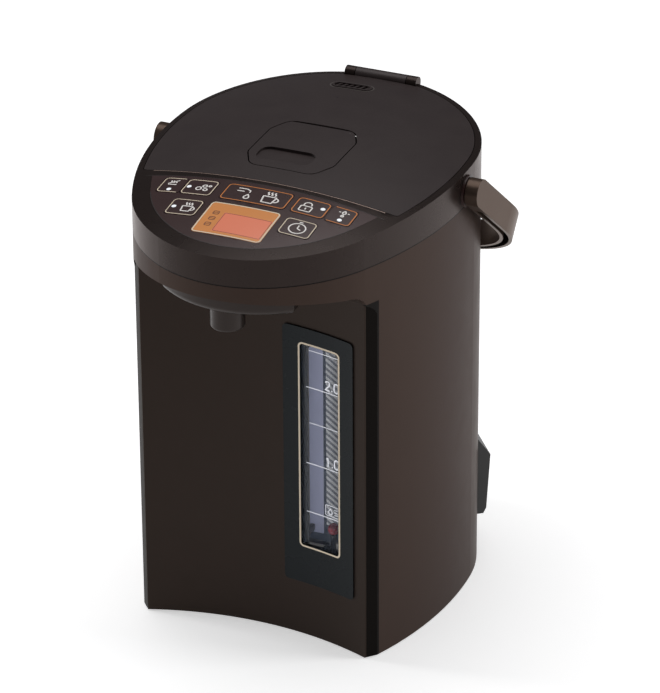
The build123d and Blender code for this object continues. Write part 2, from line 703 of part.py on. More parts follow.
def base_plate():
    plan = prism(outline(WALL + FIT), FOOT_H, FOOT_H + BASE_T) - recess(PANEL_T + FIT)
    lip = prism(outline(WALL + FIT) - outline(2 * WALL + FIT), FOOT_H, FOOT_H + 9.0) - recess(PANEL_T + FIT)
    plate = plan + lip
    for i in range(7):
        plate -= Pos(0, 20 + 9 * i, 0) * Box(44, 3.2, 20)
    for x, y in foot_places():
        plate -= disc(9.0, 0, FOOT_H + 1.0, x, y)
    return plate


def foot_places():
    return [(-62.0, -48.0), (62.0, -48.0), (-66.0, 78.0), (66.0, 78.0)]


def feet():
    return Compound([disc(9.0 - FIT / 3, 0, FOOT_H + 1.0, x, y) for x, y in foot_places()])


def base_screws():
    group = []
    for x, y in ((-78.0, 20.0), (78.0, 20.0), (0.0, 118.0), (0.0, -50.0)):
        group.append(disc(3.2, FOOT_H + BASE_T, FOOT_H + BASE_T + 2.2, x, y) - Pos(x, y, FOOT_H + BASE_T + 2.2) * Box(4, 0.9, 2))
    return Compound(group)


# ---------------------------------------------------------------- power inlet
def inlet_frame():
    """Plane on the shell at the middle of the inlet, looking outwards, its y axis up."""
    back = body_spans()[3]
    spot = on_arc(back, INLET_HEADING)
    turn = math.radians(INLET_HEADING)
    return Plane(origin=(spot.X, spot.Y, (INLET_LOW_Z + INLET_TOP_Z) / 2),
                 x_dir=(math.cos(turn), math.sin(turn), 0), z_dir=(math.sin(turn), -math.cos(turn), 0))


def inlet_housing():
    """Hood with a sloped shoulder, moulded round an open socket."""
    half_h = (INLET_TOP_Z - INLET_LOW_Z) / 2
    profile = make_face(Polyline((-3, -half_h), (INLET_PROUD_LOW - 2, -half_h), (INLET_PROUD_LOW, -half_h + 4),
                                 (INLET_PROUD_TOP, half_h - INLET_SLOPE), (-3, half_h + 3), close=True))
    upright = Plane(origin=(0, 0, 0), x_dir=(0, 0, 1), z_dir=(-1, 0, 0))
    hood = inlet_frame() * extrude(upright * profile, INLET_W / 2, both=True)
    plug = Rectangle(INLET_W - 3 - 2 * FIT, 2 * (half_h - INLET_SLOPE) - 2 * FIT)
    piece = hood - prism(outline(-FIT / 3), 0, TALL)
    piece += inlet_frame() * (Pos(0, 0, -WALL - 1) * extrude(plug, WALL + 4)) & hood + inlet_frame() * (
        Pos(0, 0, -WALL - 1) * extrude(plug, WALL + 2))
    socket_y = SOCKET_Z - (INLET_LOW_Z + INLET_TOP_Z) / 2
    casing = Pos(0, socket_y, 1) * Box(SOCKET_W + 5, SOCKET_H + 5, SOCKET_DEPTH,
                                       align=(Align.CENTER, Align.CENTER, Align.MAX))
    cavity = Pos(0, socket_y, INLET_PROUD_LOW - SOCKET_DEPTH) * extrude(
        RectangleRounded(SOCKET_W, SOCKET_H, 2.0), SOCKET_DEPTH + 10)
    return piece + inlet_frame() * casing - inlet_frame() * cavity


def inlet_contacts():
    spot = inlet_frame()
    socket_y = SOCKET_Z - (INLET_LOW_Z + INLET_TOP_Z) / 2
    floor = INLET_PROUD_LOW - SOCKET_DEPTH
    pins = [spot * Pos(side * CONTACT_PITCH / 2, socket_y, floor) * extrude(Circle(CONTACT_R), SOCKET_DEPTH - 4)
            for side in (-1, 1)]
    return Compound(pins)


# ---------------------------------------------------------------- lid
def lid_cover():
    cover = (prism(lid_plan(0), 200, TALL) & crowned()) - crowned(TOP_T)
    cover += prism(lid_plan(SKIRT_INSET) - lid_plan(SKIRT_INSET + WALL), SKIRT_LOW_Z, TALL) & crowned(1.0)
    cover += prism(lever_plan(LEVER_GAP + WALL), 200, TALL) & (crowned(TOP_T - 0.4) - crowned(WELL_DEPTH + WALL))
    cover -= prism(lever_plan(LEVER_GAP), 200, TALL) - crowned(WELL_DEPTH)
    cover -= prism(Pos(VENT_X, VENT_Y) * SlotOverall(VENT_L, VENT_W), 200, TALL)
    cover -= Pos(0, HINGE_Y, HINGE_Z) * Box(2 * HINGE_HALF + 1.0, 2 * HINGE_R + 1.0, 4 * HINGE_R)
    tongue = hinge_axis() * Cylinder(HINGE_R, 2 * HINGE_LID_HALF)
    tongue += Pos(0, HINGE_Y - 6.0, HINGE_Z - 1.4) * Box(2 * HINGE_LID_HALF, 12.0, 3.4)
    cover += tongue
    cover -= hinge_axis() * Cylinder(HINGE_PIN_R + PIN_PLAY, 2 * HINGE_HALF)
    cover -= Pos(0, LID_FRONT_Y + SKIRT_INSET + 1, BOLT_Z) * Box(2 * BOLT_HALF + 0.8, 8, BOLT_H + 0.8)
    return cover - lever_axis() * Cylinder(LEVER_PIN_R + 0.02, 2 * LEVER_HALF + 4)


def lever_axis():
    y = LEVER_BACK_Y - LEVER_HEEL_R
    return Pos(0, y, top_z(0, y) - LEVER_AXIS_DROP) * Rot(0, 90, 0)


def lid_lever():
    plate = prism(lever_plan(), 200, TALL) & (crowned() - crowned(LEVER_T))
    y = LEVER_FRONT_Y + 17.0
    dish = Pos(-4, y, top_z(-4, y) - 1.6) * extrude(RectangleRounded(37, 17, 6), 9)
    plate -= dish
    axis = lever_axis()
    heel = axis * (Cylinder(30, 200) - Cylinder(LEVER_HEEL_R, 200))
    behind = Pos(0, LEVER_BACK_Y - LEVER_HEEL_R) * extrude(Rectangle(200, 30, align=(Align.CENTER, Align.MIN)), TALL)
    plate -= heel & behind
    plate += axis * Cylinder(LEVER_HEEL_R - 0.6, 2 * LEVER_FRONT_HALF)
    return plate - axis * Cylinder(LEVER_PIN_R + PIN_PLAY, 2 * LEVER_HALF + 4)


def lever_pin():
    return lever_axis() * Cylinder(LEVER_PIN_R, 2 * LEVER_HALF + 3)


def latch_bolt():
    tip = LID_FRONT_Y + SKIRT_INSET - BOLT_REACH
    bolt = Pos(0, tip, BOLT_Z) * Box(2 * BOLT_HALF, BOLT_LENGTH, BOLT_H, align=(Align.CENTER, Align.MIN, Align.CENTER))
    nose = bolt.edges().filter_by(Axis.X).group_by(Axis.Y)[0]
    return chamfer(nose.sort_by(Axis.Z)[:1], 2.4)


def latch_guide():
    tip = LID_FRONT_Y + SKIRT_INSET + WALL + 3.5
    low = LINER_FLANGE_Z + WALL
    block = Pos(0, tip, low) * Box(2 * BOLT_HALF + 6, 20, BOLT_Z + BOLT_H / 2 + 2.4 - low,
                                   align=(Align.CENTER, Align.MIN, Align.MIN))
    return block - Pos(0, tip, BOLT_Z) * Box(2 * BOLT_HALF + 0.6, 80, BOLT_H + 0.6)


def latch_spring():
    start = LID_FRONT_Y + SKIRT_INSET - BOLT_REACH + BOLT_LENGTH + FIT / 3
    coil = Cylinder(2.6, SPRING_L) - Cylinder(1.9, 2 * SPRING_L)
    return Pos(0, start + SPRING_L / 2, BOLT_Z) * Rot(90, 0, 0) * coil


def lid_liner():
    low, high = LINER_LOW_Z, LINER_FLANGE_Z
    cup = make_face(Polyline((0, low), (LINER_R, low), (LINER_TOP_R, high), (LINER_TOP_R, high + WALL),
                             (LINER_TOP_R - WALL, high + WALL), (LINER_R - WALL, low + WALL), (0, low + WALL), close=True))
    cup = Pos(0, POT_Y) * revolve(Plane.XZ * cup, Axis.Z)
    flange = prism(lid_plan(SKIRT_INSET + WALL + FIT), high, high + WALL)
    cup += flange - disc(LINER_TOP_R - WALL, 0, TALL, 0, POT_Y)
    start = LID_FRONT_Y + SKIRT_INSET - BOLT_REACH + BOLT_LENGTH + SPRING_L + 2 * FIT / 3
    cup += Pos(0, start, low + WALL / 2) * Box(14, 3, BOLT_Z + 4 - low, align=(Align.CENTER, Align.MIN, Align.MIN))
    bridge = Pos(0, LID_FRONT_Y + SKIRT_INSET + WALL + FIT + 1, high) * Box(
        2 * BOLT_HALF + 8, start - LID_FRONT_Y - SKIRT_INSET - WALL, WALL, align=(Align.CENTER, Align.MIN, Align.MIN))
    duct = Pos(VENT_X, VENT_Y - 22)
    cup += bridge + prism(duct * SlotOverall(16, 8), low + 0.5, DUCT_TOP_Z)
    return cup - prism(duct * SlotOverall(13, 5), 200, TALL)


def lid_gasket():
    return tube(LINER_R + 2.0, LINER_R - 3.0, POT_RIM_Z + FIT, LINER_LOW_Z - 0.02, 0, POT_Y)


def steam_vent():
    spot = Pos(VENT_X, VENT_Y)
    frame = prism(spot * SlotOverall(VENT_L - 2 * FIT, VENT_W - 2 * FIT), 200, TALL) & (crowned(-0.5) - crowned(TOP_T))
    opening = prism(spot * SlotOverall(VENT_L - 3.6, VENT_W - 3.6), 200, TALL)
    grille = frame - opening
    for i in range(VENT_BARS):
        x = VENT_X + (i - (VENT_BARS - 1) / 2) * 4.0
        bar = Pos(x, VENT_Y, top_z(x, VENT_Y) - 1.2) * Rot(0, 0, -28) * Box(1.4, VENT_W + 1, 2.0)
        grille += bar & prism(spot * SlotOverall(VENT_L - 3, VENT_W - 3), 200, TALL)
    return grille


def hinge_pin():
    return Pos(0, HINGE_Y, HINGE_Z) * Rot(0, 90, 0) * Cylinder(HINGE_PIN_R, 2 * HINGE_HALF - 3)


# ---------------------------------------------------------------- handle
def bail_plan(inset):
    """Shape of the bail in its own plane: the arms run up the page from the hubs."""
    turn = math.radians(HANDLE_CORNER_SWEEP)
    side = HANDLE_OUT_X - HANDLE_CORNER_R
    cross_r = HANDLE_CORNER_R + side / math.cos(turn)
    straight = handle_reach() - cross_r + side * math.tan(turn)
    centre = Vector(side, straight)
    middle = Vector(0, handle_reach() - cross_r)

    def at(c, r, a):
        return (c.X + (r - inset) * math.cos(a), c.Y + (r - inset) * math.sin(a))

    right = ThreePointArc(*[at(centre, HANDLE_CORNER_R, a) for a in (0, turn / 2, turn)])
    bar = ThreePointArc(*[at(middle, cross_r, a) for a in (turn, math.pi / 2, math.pi - turn)])
    x = HANDLE_OUT_X - inset
    base = Polyline((-x, straight), (-x, -HANDLE_W), (x, -HANDLE_W), (x, straight))
    return make_face([right, bar, mirror(right, Plane.YZ), base])


def handle():
    bail = extrude(bail_plan(0) - bail_plan(HANDLE_T), HANDLE_W / 2, both=True)
    ends = Circle(HANDLE_W / 2) + Rectangle(400, HANDLE_W, align=(Align.MIN, Align.CENTER))
    bail &= extrude(Plane.YZ * ends, 300, both=True)
    channel = extrude(bail_plan(HANDLE_SKIN) - bail_plan(HANDLE_T - HANDLE_SKIN), HANDLE_W)
    hollow_start = Pos(0, HANDLE_W / 2 + 5, -HANDLE_W / 2 - 1) * Box(400, 400, 2 * HANDLE_W - HANDLE_SKIN,
                                                                   align=(Align.CENTER, Align.MIN, Align.CENTER))
    bail -= Pos(0, 0, -HANDLE_W / 2 - HANDLE_SKIN) * channel & hollow_start
    for side in (-1, 1):
        bore = Pos(side * (HANDLE_OUT_X - HANDLE_SKIN - 10), 0, 0) * Rot(0, 90, 0) * Cylinder(HUB_PIN_R + PIN_PLAY, 20)
        bail -= bore
    return Pos(0, HUB_Y, HUB_Z) * Rot(-HANDLE_FOLD, 0, 0) * bail


# ---------------------------------------------------------------- assembly
def pieces():
    made = {
        "outer_shell": outer_shell(), "front_panel": front_panel(), "spout_housing": spout_housing(),
        "spout": spout(), "top_housing": top_housing(),
        "handle_pivot_left": handle_pivot(-1), "handle_pivot_right": handle_pivot(1),
        "control_film": control_film(), "display_lens": display_lens(), "display_module": display_module(),
        "control_board": control_board(), "key_switches": key_switches(),
        "gauge_cover": gauge_cover(), "gauge_window": gauge_window(), "gauge_tube": gauge_tube(),
        "gauge_fittings": gauge_fittings(), "gauge_scale": gauge_scale(), "gauge_brackets": gauge_brackets(),
        "level_ball": level_ball(),
        "inner_container": inner_container(), "insulation_jacket": insulation_jacket(),
        "heater_plate": heater_plate(), "thermistor": thermistor(), "pot_support": pot_support(),
        "pump_housing": pump_housing(), "impeller": impeller(), "pump_motor": pump_motor(),
        "drive_magnet": drive_magnet(), "riser_pipe": riser_pipe(),
        "base_plate": base_plate(), "feet": feet(), "base_screws": base_screws(),
        "inlet_housing": inlet_housing(), "inlet_contacts": inlet_contacts(),
        "lid_cover": lid_cover(), "lid_liner": lid_liner(), "lid_gasket": lid_gasket(),
        "steam_vent": steam_vent(), "lid_lever": lid_lever(), "lever_pin": lever_pin(),
        "latch_bolt": latch_bolt(), "latch_guide": latch_guide(), "latch_spring": latch_spring(),
        "hinge_pin": hinge_pin(), "handle": handle(),
    }
    made.update({name: control_key(name) for name in KEYS})
    return made


if __name__ == "__main__":
    os.makedirs("parts", exist_ok=True)
    for node, shape in pieces().items():
        export_step(Pos(0, frame_shift(), 0) * shape, "parts/" + node + ".step")
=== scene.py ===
# %% [markdown]
# # Electric thermo pot
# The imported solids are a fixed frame: nothing below moves them or changes their mesh. This lesson gives
# them their paints and plastics, adds what is printed on them, and sets up a small studio. It starts by
# loading the frame and measuring it, because every print is placed from those sizes.

# %% Load the frame
import bpy
import bmesh
import math
from mathutils import Matrix, Vector


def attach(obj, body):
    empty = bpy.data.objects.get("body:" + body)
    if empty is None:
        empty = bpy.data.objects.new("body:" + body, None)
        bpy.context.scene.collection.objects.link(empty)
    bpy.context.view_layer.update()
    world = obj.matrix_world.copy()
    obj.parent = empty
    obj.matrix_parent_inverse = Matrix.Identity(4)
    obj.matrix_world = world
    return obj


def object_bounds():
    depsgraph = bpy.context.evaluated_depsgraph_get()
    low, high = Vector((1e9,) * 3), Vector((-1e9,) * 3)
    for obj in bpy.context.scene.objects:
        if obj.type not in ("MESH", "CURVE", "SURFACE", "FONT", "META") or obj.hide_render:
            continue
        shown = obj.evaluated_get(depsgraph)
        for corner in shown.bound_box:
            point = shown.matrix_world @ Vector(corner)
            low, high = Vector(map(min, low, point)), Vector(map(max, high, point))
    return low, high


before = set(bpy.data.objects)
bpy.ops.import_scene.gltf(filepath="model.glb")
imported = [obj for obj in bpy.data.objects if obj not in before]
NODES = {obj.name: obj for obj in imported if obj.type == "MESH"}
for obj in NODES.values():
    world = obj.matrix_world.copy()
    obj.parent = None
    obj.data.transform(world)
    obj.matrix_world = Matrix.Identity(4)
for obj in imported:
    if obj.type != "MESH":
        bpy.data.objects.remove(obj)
cad_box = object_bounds()
print("solids", len(NODES), "box", [[round(v, 4) for v in c] for c in cad_box])

# %% [markdown]
# ## Sizes of the casing
# Lengths are in millimetres. The top of the pot is a barrel, crowned both ways and tilted up behind, and
# the panel at the back of the cup bay is part of a cylinder. Each is stated as a half width and a rise,
# which is how such a curve is measured on the real thing, and its radius is worked out.

# %% Radii and places
def bow_radius(half, rise):
    """Radius of a curve that rises by that much at half of its width."""
    return (half**2 + rise**2) / (2 * rise)


MM = 0.001
NOSE_Y = -134.5
FRAME_Y = cad_box[0][1] / MM - NOSE_Y
TOP_Z = 310.7
TILT = math.radians(1.66)
CROWN_RISE = 10.4
CROWN_X = bow_radius(100.0, CROWN_RISE)
CROWN_Y = bow_radius(136.0, CROWN_RISE)
BOWL_DEPTH = 14.2
BOWL_R = bow_radius(76.2, BOWL_DEPTH)
BOWL_Y = -77.2 + BOWL_DEPTH - BOWL_R
print("shift in y", round(FRAME_Y, 4), "crown radii", round(CROWN_X), round(CROWN_Y), "bowl", round(BOWL_R))

# %% [markdown]
# ## Places on the curved surfaces
# A print has to follow the surface under it. Projecting it with a modifier would work for one pose, but a
# formula for the surface is exact and needs no helper object, so each surface gets a function from plan to
# space.

# %% Surface functions
def top_z(x, y):
    """Height of the crowned top over a point of the plan, before the frame's shift in y."""
    ring = CROWN_Y - CROWN_X + math.sqrt(CROWN_X**2 - x**2)
    along = y
    for _ in range(4):
        drop = math.sqrt(ring**2 - along**2) - CROWN_Y
        along = (y + drop * math.sin(TILT)) / math.cos(TILT)
    drop = math.sqrt(ring**2 - along**2) - CROWN_Y
    return TOP_Z + along * math.sin(TILT) + drop * math.cos(TILT)


def on_top(x, y, lift):
    return Vector((x, y + FRAME_Y, top_z(x, y) + lift)) * MM


def on_bowl(x, z, depth):
    """A point in front of the concave panel, depth away from its face."""
    y = BOWL_Y + math.sqrt((BOWL_R - depth) ** 2 - x**2)
    return Vector((x, y + FRAME_Y, z)) * MM


print("top over the middle", round(top_z(0, 0), 2), "panel at its middle", round(BOWL_Y + BOWL_R, 2))

# %% [markdown]
# ## Paths
# The frames and icons are drawn with a pen, so a print starts as a path in the plan. Round stretches come
# from arcs, and long straight ones get extra points later, so that they can bend with the surface.

# %% Path helpers
def arc(x, y, r, start, end, n=14):
    turns = [math.radians(start + (end - start) * i / n) for i in range(n + 1)]
    return [(x + r * math.cos(a), y + r * math.sin(a)) for a in turns]


def rounded(x, y, w, d, r, n=5):
    """Closed outline of a rounded rectangle."""
    points = []
    for cx, cy, start in ((1, 1, 0), (-1, 1, 90), (-1, -1, 180), (1, -1, 270)):
        points += arc(x + cx * (w / 2 - r), y + cy * (d / 2 - r), r, start, start + 90, n)
    return points


def dense(path, closed, step):
    """The same path with a point at least every step."""
    out = []
    ends = path[1:] + path[:1] if closed else path[1:]
    for a, b in zip(path, ends):
        n = max(1, math.ceil(math.dist(a, b) / step))
        out += [(a[0] + (b[0] - a[0]) * i / n, a[1] + (b[1] - a[1]) * i / n) for i in range(n)]
    return out if closed else out + [path[-1]]


print("a key frame has", len(rounded(0, 0, 20, 17, 2.4)), "corner points")

# %% [markdown]
# ## Ink with a little thickness
# Printed ink stands a few hundredths of a millimetre proud. An image texture could show it, but it would
# blur close up, so each line is a thin ribbon of mesh with two sides, and each filled spot is a fan of
# rings.

# %% Pen and stamp
INK = 0.04


def stroke(bm, path, width, place, lift, closed=False, step=2.0):
    """Adds a ribbon of that width along the path, lying on the surface that place() gives."""
    path = dense(path, closed, step)
    count = len(path)
    rows = []
    for i, p in enumerate(path):
        a = path[i - 1] if closed or i else p
        b = path[(i + 1) % count] if closed or i < count - 1 else p
        run = Vector((b[0] - a[0], b[1] - a[1]))
        side = Vector((-run.y, run.x)).normalized() * width / 2
        rows.append([bm.verts.new(place(p[0] + s * side.x, p[1] + s * side.y, lift + h))
                     for s, h in ((-1, 0), (-1, INK), (1, INK), (1, 0))])
    for i in range(count if closed else count - 1):
        a, b = rows[i], rows[(i + 1) % count]
        for k in range(3):
            bm.faces.new((a[k], b[k], b[k + 1], a[k + 1]))
    if not closed:
        bm.faces.new(rows[0])
        bm.faces.new(rows[-1][::-1])


def patch(bm, outline, place, lift, thick=INK, rings=2):
    """Adds a filled plate inside an outline that is star-shaped about its middle."""
    count = len(outline)
    cx = sum(p[0] for p in outline) / count
    cy = sum(p[1] for p in outline) / count
    rows = [[bm.verts.new(place(x, y, lift)) for x, y in outline]]
    for k in range(rings + 1):
        t = 1 - k / (rings + 0.3)
        ring = [(cx + (x - cx) * t, cy + (y - cy) * t) for x, y in outline]
        rows.append([bm.verts.new(place(x, y, lift + thick)) for x, y in ring])
    for outer, inner in zip(rows, rows[1:]):
        for i in range(count):
            j = (i + 1) % count
            bm.faces.new((outer[i], outer[j], inner[j], inner[i]))
    bm.faces.new(rows[-1])


print("pen and stamp ready, ink", INK, "mm")

# %% [markdown]
# ## From mesh to piece
# Every print rides on the body that carries it, so it moves with the lid or key in any pose.

# %% Piece helper
def piece(name, bm, mat, body, smooth=False):
    """Turns a bmesh into an object that rides on a body."""
    bmesh.ops.recalc_face_normals(bm, faces=bm.faces)
    mesh = bpy.data.meshes.new(name)
    bm.to_mesh(mesh)
    bm.free()
    if smooth:
        mesh.shade_smooth()
    mesh.materials.append(mat)
    obj = bpy.data.objects.new(name, mesh)
    bpy.context.scene.collection.objects.link(obj)
    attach(obj, body)


# %% [markdown]
# ## Node helpers
# Shader trees are built in code. Three short helpers keep that readable: one adds a node, one wires pairs
# of sockets, and one starts a node group with named inputs and outputs.

# %% Tree helpers
def add(tree, kind, **settings):
    node = tree.nodes.new(kind)
    for key, value in settings.items():
        setattr(node, key, value)
    return node


def wire(tree, *pairs):
    for source, target in pairs:
        tree.links.new(source, target)


def group(name, inputs, outputs):
    tree = bpy.data.node_groups.new(name, "ShaderNodeTree")
    for label, kind, value in inputs:
        socket = tree.interface.new_socket(label, in_out="INPUT", socket_type=kind)
        if value is not None:
            socket.default_value = value
    for label, kind in outputs:
        tree.interface.new_socket(label, in_out="OUTPUT", socket_type=kind)
    return tree, tree.nodes.new("NodeGroupInput"), tree.nodes.new("NodeGroupOutput")


FLOAT = "NodeSocketFloat"
COLOUR = "NodeSocketColor"
print("node helpers ready")

# %% [markdown]
# ## Mottle
# Moulded and painted plastic is never one flat colour: it drifts a little in tone and gloss. A soft noise
# blends two near colours and moves the roughness between two values. It is a node group, because every
# material uses it.

# %% Mottle group
mottle, g_in, g_out = group("mottle", [("Scale", FLOAT, 60.0), ("Low", FLOAT, 0.3), ("High", FLOAT, 0.4),
                                       ("Base", COLOUR, None), ("Tint", COLOUR, None)],
                            [("Roughness", FLOAT), ("Color", COLOUR)])
coords = add(mottle, "ShaderNodeTexCoord")
cloud = add(mottle, "ShaderNodeTexNoise")
cloud.inputs["Detail"].default_value = 3.0
spread = add(mottle, "ShaderNodeMapRange")
spread.inputs["From Min"].default_value = 0.3
spread.inputs["From Max"].default_value = 0.7
blend = add(mottle, "ShaderNodeMix", data_type="RGBA")
wire(mottle,
     (coords.outputs["Object"], cloud.inputs["Vector"]),
     (g_in.outputs["Scale"], cloud.inputs["Scale"]),
     (cloud.outputs["Fac"], spread.inputs["Value"]),
     (g_in.outputs["Low"], spread.inputs["To Min"]),
     (g_in.outputs["High"], spread.inputs["To Max"]),
     (cloud.outputs["Fac"], blend.inputs["Factor"]),
     (g_in.outputs["Base"], blend.inputs["A"]),
     (g_in.outputs["Tint"], blend.inputs["B"]),
     (spread.outputs["Result"], g_out.inputs["Roughness"]),
     (blend.outputs["Result"], g_out.inputs["Color"]))
print("mottle nodes", len(mottle.nodes))

# %% [markdown]
# ## Grain
# The casing has the fine pitted skin of its mould, and the felt jacket a coarser one. A bump from a fine
# noise shows both, at different scales and heights. Real displacement would cost far more for the same
# look.

# %% Grain group
grain, g_in, g_out = group("grain", [("Scale", FLOAT, 900.0), ("Height", FLOAT, 0.00004)],
                           [("Normal", "NodeSocketVector")])
coords = add(grain, "ShaderNodeTexCoord")
pits = add(grain, "ShaderNodeTexNoise")
pits.inputs["Detail"].default_value = 2.0
bump = add(grain, "ShaderNodeBump")
bump.inputs["Strength"].default_value = 0.5
wire(grain,
     (coords.outputs["Object"], pits.inputs["Vector"]),
     (g_in.outputs["Scale"], pits.inputs["Scale"]),
     (pits.outputs["Fac"], bump.inputs["Height"]),
     (g_in.outputs["Height"], bump.inputs["Distance"]),
     (bump.outputs["Normal"], g_out.inputs["Normal"]))
print("grain nodes", len(grain.nodes))

# %% [markdown]
# ## Seam shadow
# Shell and top housing meet in a thin dark line round the pot. The solids only just touch there, so both
# paints draw the shadow of the joint: a narrow band of near black at the height of the seam.

# %% Groove group
SEAM_Z = 278.0

groove, g_in, g_out = group("groove", [("Height", FLOAT, SEAM_Z), ("Half", FLOAT, 0.4),
                                       ("Color", COLOUR, None)],
                            [("Color", COLOUR)])
coords = add(groove, "ShaderNodeTexCoord")
axes = add(groove, "ShaderNodeSeparateXYZ")
near = add(groove, "ShaderNodeMath", operation="COMPARE")
darker = add(groove, "ShaderNodeMix", data_type="RGBA")
darker.inputs["B"].default_value = (0.004, 0.003, 0.003, 1)
level = add(groove, "ShaderNodeMath", operation="MULTIPLY")
level.inputs[1].default_value = MM
reach = add(groove, "ShaderNodeMath", operation="MULTIPLY")
reach.inputs[1].default_value = MM
wire(groove,
     (coords.outputs["Object"], axes.inputs["Vector"]),
     (g_in.outputs["Height"], level.inputs[0]),
     (g_in.outputs["Half"], reach.inputs[0]),
     (axes.outputs["Z"], near.inputs[0]),
     (level.outputs[0], near.inputs[1]),
     (reach.outputs[0], near.inputs[2]),
     (near.outputs[0], darker.inputs["Factor"]),
     (g_in.outputs["Color"], darker.inputs["A"]),
     (darker.outputs["Result"], g_out.inputs["Color"]))
print("groove nodes", len(groove.nodes))

# %% [markdown]
# ## Painted shade on the edges of the cup bay
# The bevels on both sides of the bay wear the shell's own brown, but they lie in shade and look near black
# beside it, so the shell's paint draws that painted shade on them. They are part of the shell's solid, so its
# paint finds
# them by place: low on the shell, and in front of the bevels' rear edge.

# %% Bay edge painted shade group
BEVEL_BACK_Y = -79.9
BEVEL_TOP_Z = 253.2

bay_bevel_painted_shade, g_in, g_out = group("bay_bevel_painted_shade", [("Color", COLOUR, None)], [("Color", COLOUR)])
coords = add(bay_bevel_painted_shade, "ShaderNodeTexCoord")
axes = add(bay_bevel_painted_shade, "ShaderNodeSeparateXYZ")
ahead = add(bay_bevel_painted_shade, "ShaderNodeMath", operation="LESS_THAN")
ahead.inputs[1].default_value = BEVEL_BACK_Y * MM
under = add(bay_bevel_painted_shade, "ShaderNodeMath", operation="LESS_THAN")
under.inputs[1].default_value = BEVEL_TOP_Z * MM
meet = add(bay_bevel_painted_shade, "ShaderNodeMath", operation="MULTIPLY")
black = add(bay_bevel_painted_shade, "ShaderNodeMix", data_type="RGBA")
# Near black painted shade for the bevels, which are the shell's own brown under any lamp.
black.inputs["B"].default_value = (0.0022, 0.0016, 0.0014, 1)
wire(bay_bevel_painted_shade,
     (coords.outputs["Object"], axes.inputs["Vector"]),
     (axes.outputs["Y"], ahead.inputs[0]),
     (axes.outputs["Z"], under.inputs[0]),
     (ahead.outputs[0], meet.inputs[0]),
     (under.outputs[0], meet.inputs[1]),
     (meet.outputs[0], black.inputs["Factor"]),
     (g_in.outputs["Color"], black.inputs["A"]),
     (black.outputs["Result"], g_out.inputs["Color"]))
print("groups", [g.name for g in bpy.data.node_groups])

# %% [markdown]
# ## One recipe for every opaque finish
# Paint, plastic, felt and ink differ in colour, gloss, grain and metal, but the wiring is the same. So one
# function makes them all, and sets on the shader whatever a finish states by its socket's name.

# %% Material recipe
def linear(value):
    """One channel of a colour chart, from 0 to 255, as light from 0 to 1."""
    share = value / 255
    return share / 12.92 if value <= 10 else ((share + 0.055) / 1.055) ** 2.4


def srgb(r, g, b):
    return linear(r), linear(g), linear(b), 1.0


def blank(name):
    mat = bpy.data.materials.new(name)
    mat.use_nodes = True
    return mat, mat.node_tree, mat.node_tree.nodes["Principled BSDF"]


def through(tree, colour, node_group):
    """Passes a colour through a group that only changes colour."""
    node = add(tree, "ShaderNodeGroup", node_tree=node_group)
    tree.links.new(colour, node.inputs["Color"])
    return node.outputs["Color"]


def material(name, base, tint, low, high, pitch=900.0, height=0.00004, shadows=(), **constants):
    """Base and tint colours, a roughness range, a grain, and constants for the shader's own sockets."""
    mat, tree, shader = blank(name)
    drift = add(tree, "ShaderNodeGroup", node_tree=mottle)
    for label, value in (("Low", low), ("High", high), ("Base", base), ("Tint", tint)):
        drift.inputs[label].default_value = value
    colour = drift.outputs["Color"]
    for shadow in shadows:
        colour = through(tree, colour, shadow)
    wire(tree,
         (colour, shader.inputs["Base Color"]),
         (drift.outputs["Roughness"], shader.inputs["Roughness"]))
    if height:
        skin = add(tree, "ShaderNodeGroup", node_tree=grain)
        skin.inputs["Scale"].default_value = pitch
        skin.inputs["Height"].default_value = height
        tree.links.new(skin.outputs["Normal"], shader.inputs["Normal"])
    for key, value in constants.items():
        shader.inputs[key.replace("_", " ")].default_value = value
    return mat


print("recipe ready")

# %% [markdown]
# ## Paints of the casing
# The pot wears a dark brown with a trace of metal flake. Shell, housing, panel and handle each catch the
# light differently, so each has its own gloss, and a brown tint on the highlight keeps the edges from
# turning grey.

# %% Casing paints
# The shell's paint carries the seam's shadow and the painted shade on the cup bay's bevels.
body_paint = material("body_paint", srgb(56, 45, 40), srgb(61, 49, 44), 0.36, 0.40,
                      shadows=(groove, bay_bevel_painted_shade), Metallic=0.45, Specular_IOR_Level=0.22,
                      Specular_Tint=(0.38, 0.33, 0.30, 1))
top_paint = material("top_paint", srgb(47, 38, 38), srgb(51, 42, 41), 0.42, 0.47, Metallic=0.2,
                     Specular_IOR_Level=0.35)
housing_paint = material("housing_paint", srgb(40, 32, 30), srgb(44, 36, 33), 0.26, 0.30, shadows=(groove,),
                         Metallic=0.5, Specular_IOR_Level=0.3, Specular_Tint=(0.8, 0.72, 0.7, 1))
panel_paint = material("panel_paint", srgb(44, 36, 32), srgb(49, 40, 36), 0.40, 0.45, Metallic=0.4,
                       Specular_IOR_Level=0.18, Specular_Tint=(0.6, 0.55, 0.5, 1))
trim_paint = material("trim_paint", srgb(40, 32, 29), srgb(46, 37, 33), 0.27, 0.33, Metallic=0.4,
                      Specular_IOR_Level=0.3)
handle_paint = material("handle_paint", srgb(74, 61, 53), srgb(80, 66, 58), 0.30, 0.34, Metallic=0.55,
                        Specular_IOR_Level=0.3, Specular_Tint=(0.55, 0.48, 0.44, 1))
hub_paint = material("hub_paint", srgb(46, 28, 26), srgb(52, 32, 29), 0.35, 0.42)
film = material("film", srgb(56, 38, 38), srgb(61, 42, 41), 0.27, 0.31, Metallic=0.15, Specular_IOR_Level=0.4)
gauge_skin = material("gauge_skin", srgb(10, 17, 21), srgb(13, 20, 24), 0.24, 0.30, Specular_IOR_Level=0.14)
inlet_black = material("inlet_black", srgb(30, 29, 29), srgb(36, 35, 35), 0.45, 0.55)
print("paints", len(bpy.data.materials))

# %% [markdown]
# ## Works inside
# Steel, brass, felt, rubber and the grey of inner mouldings are seen when the lid is open or through the
# window.

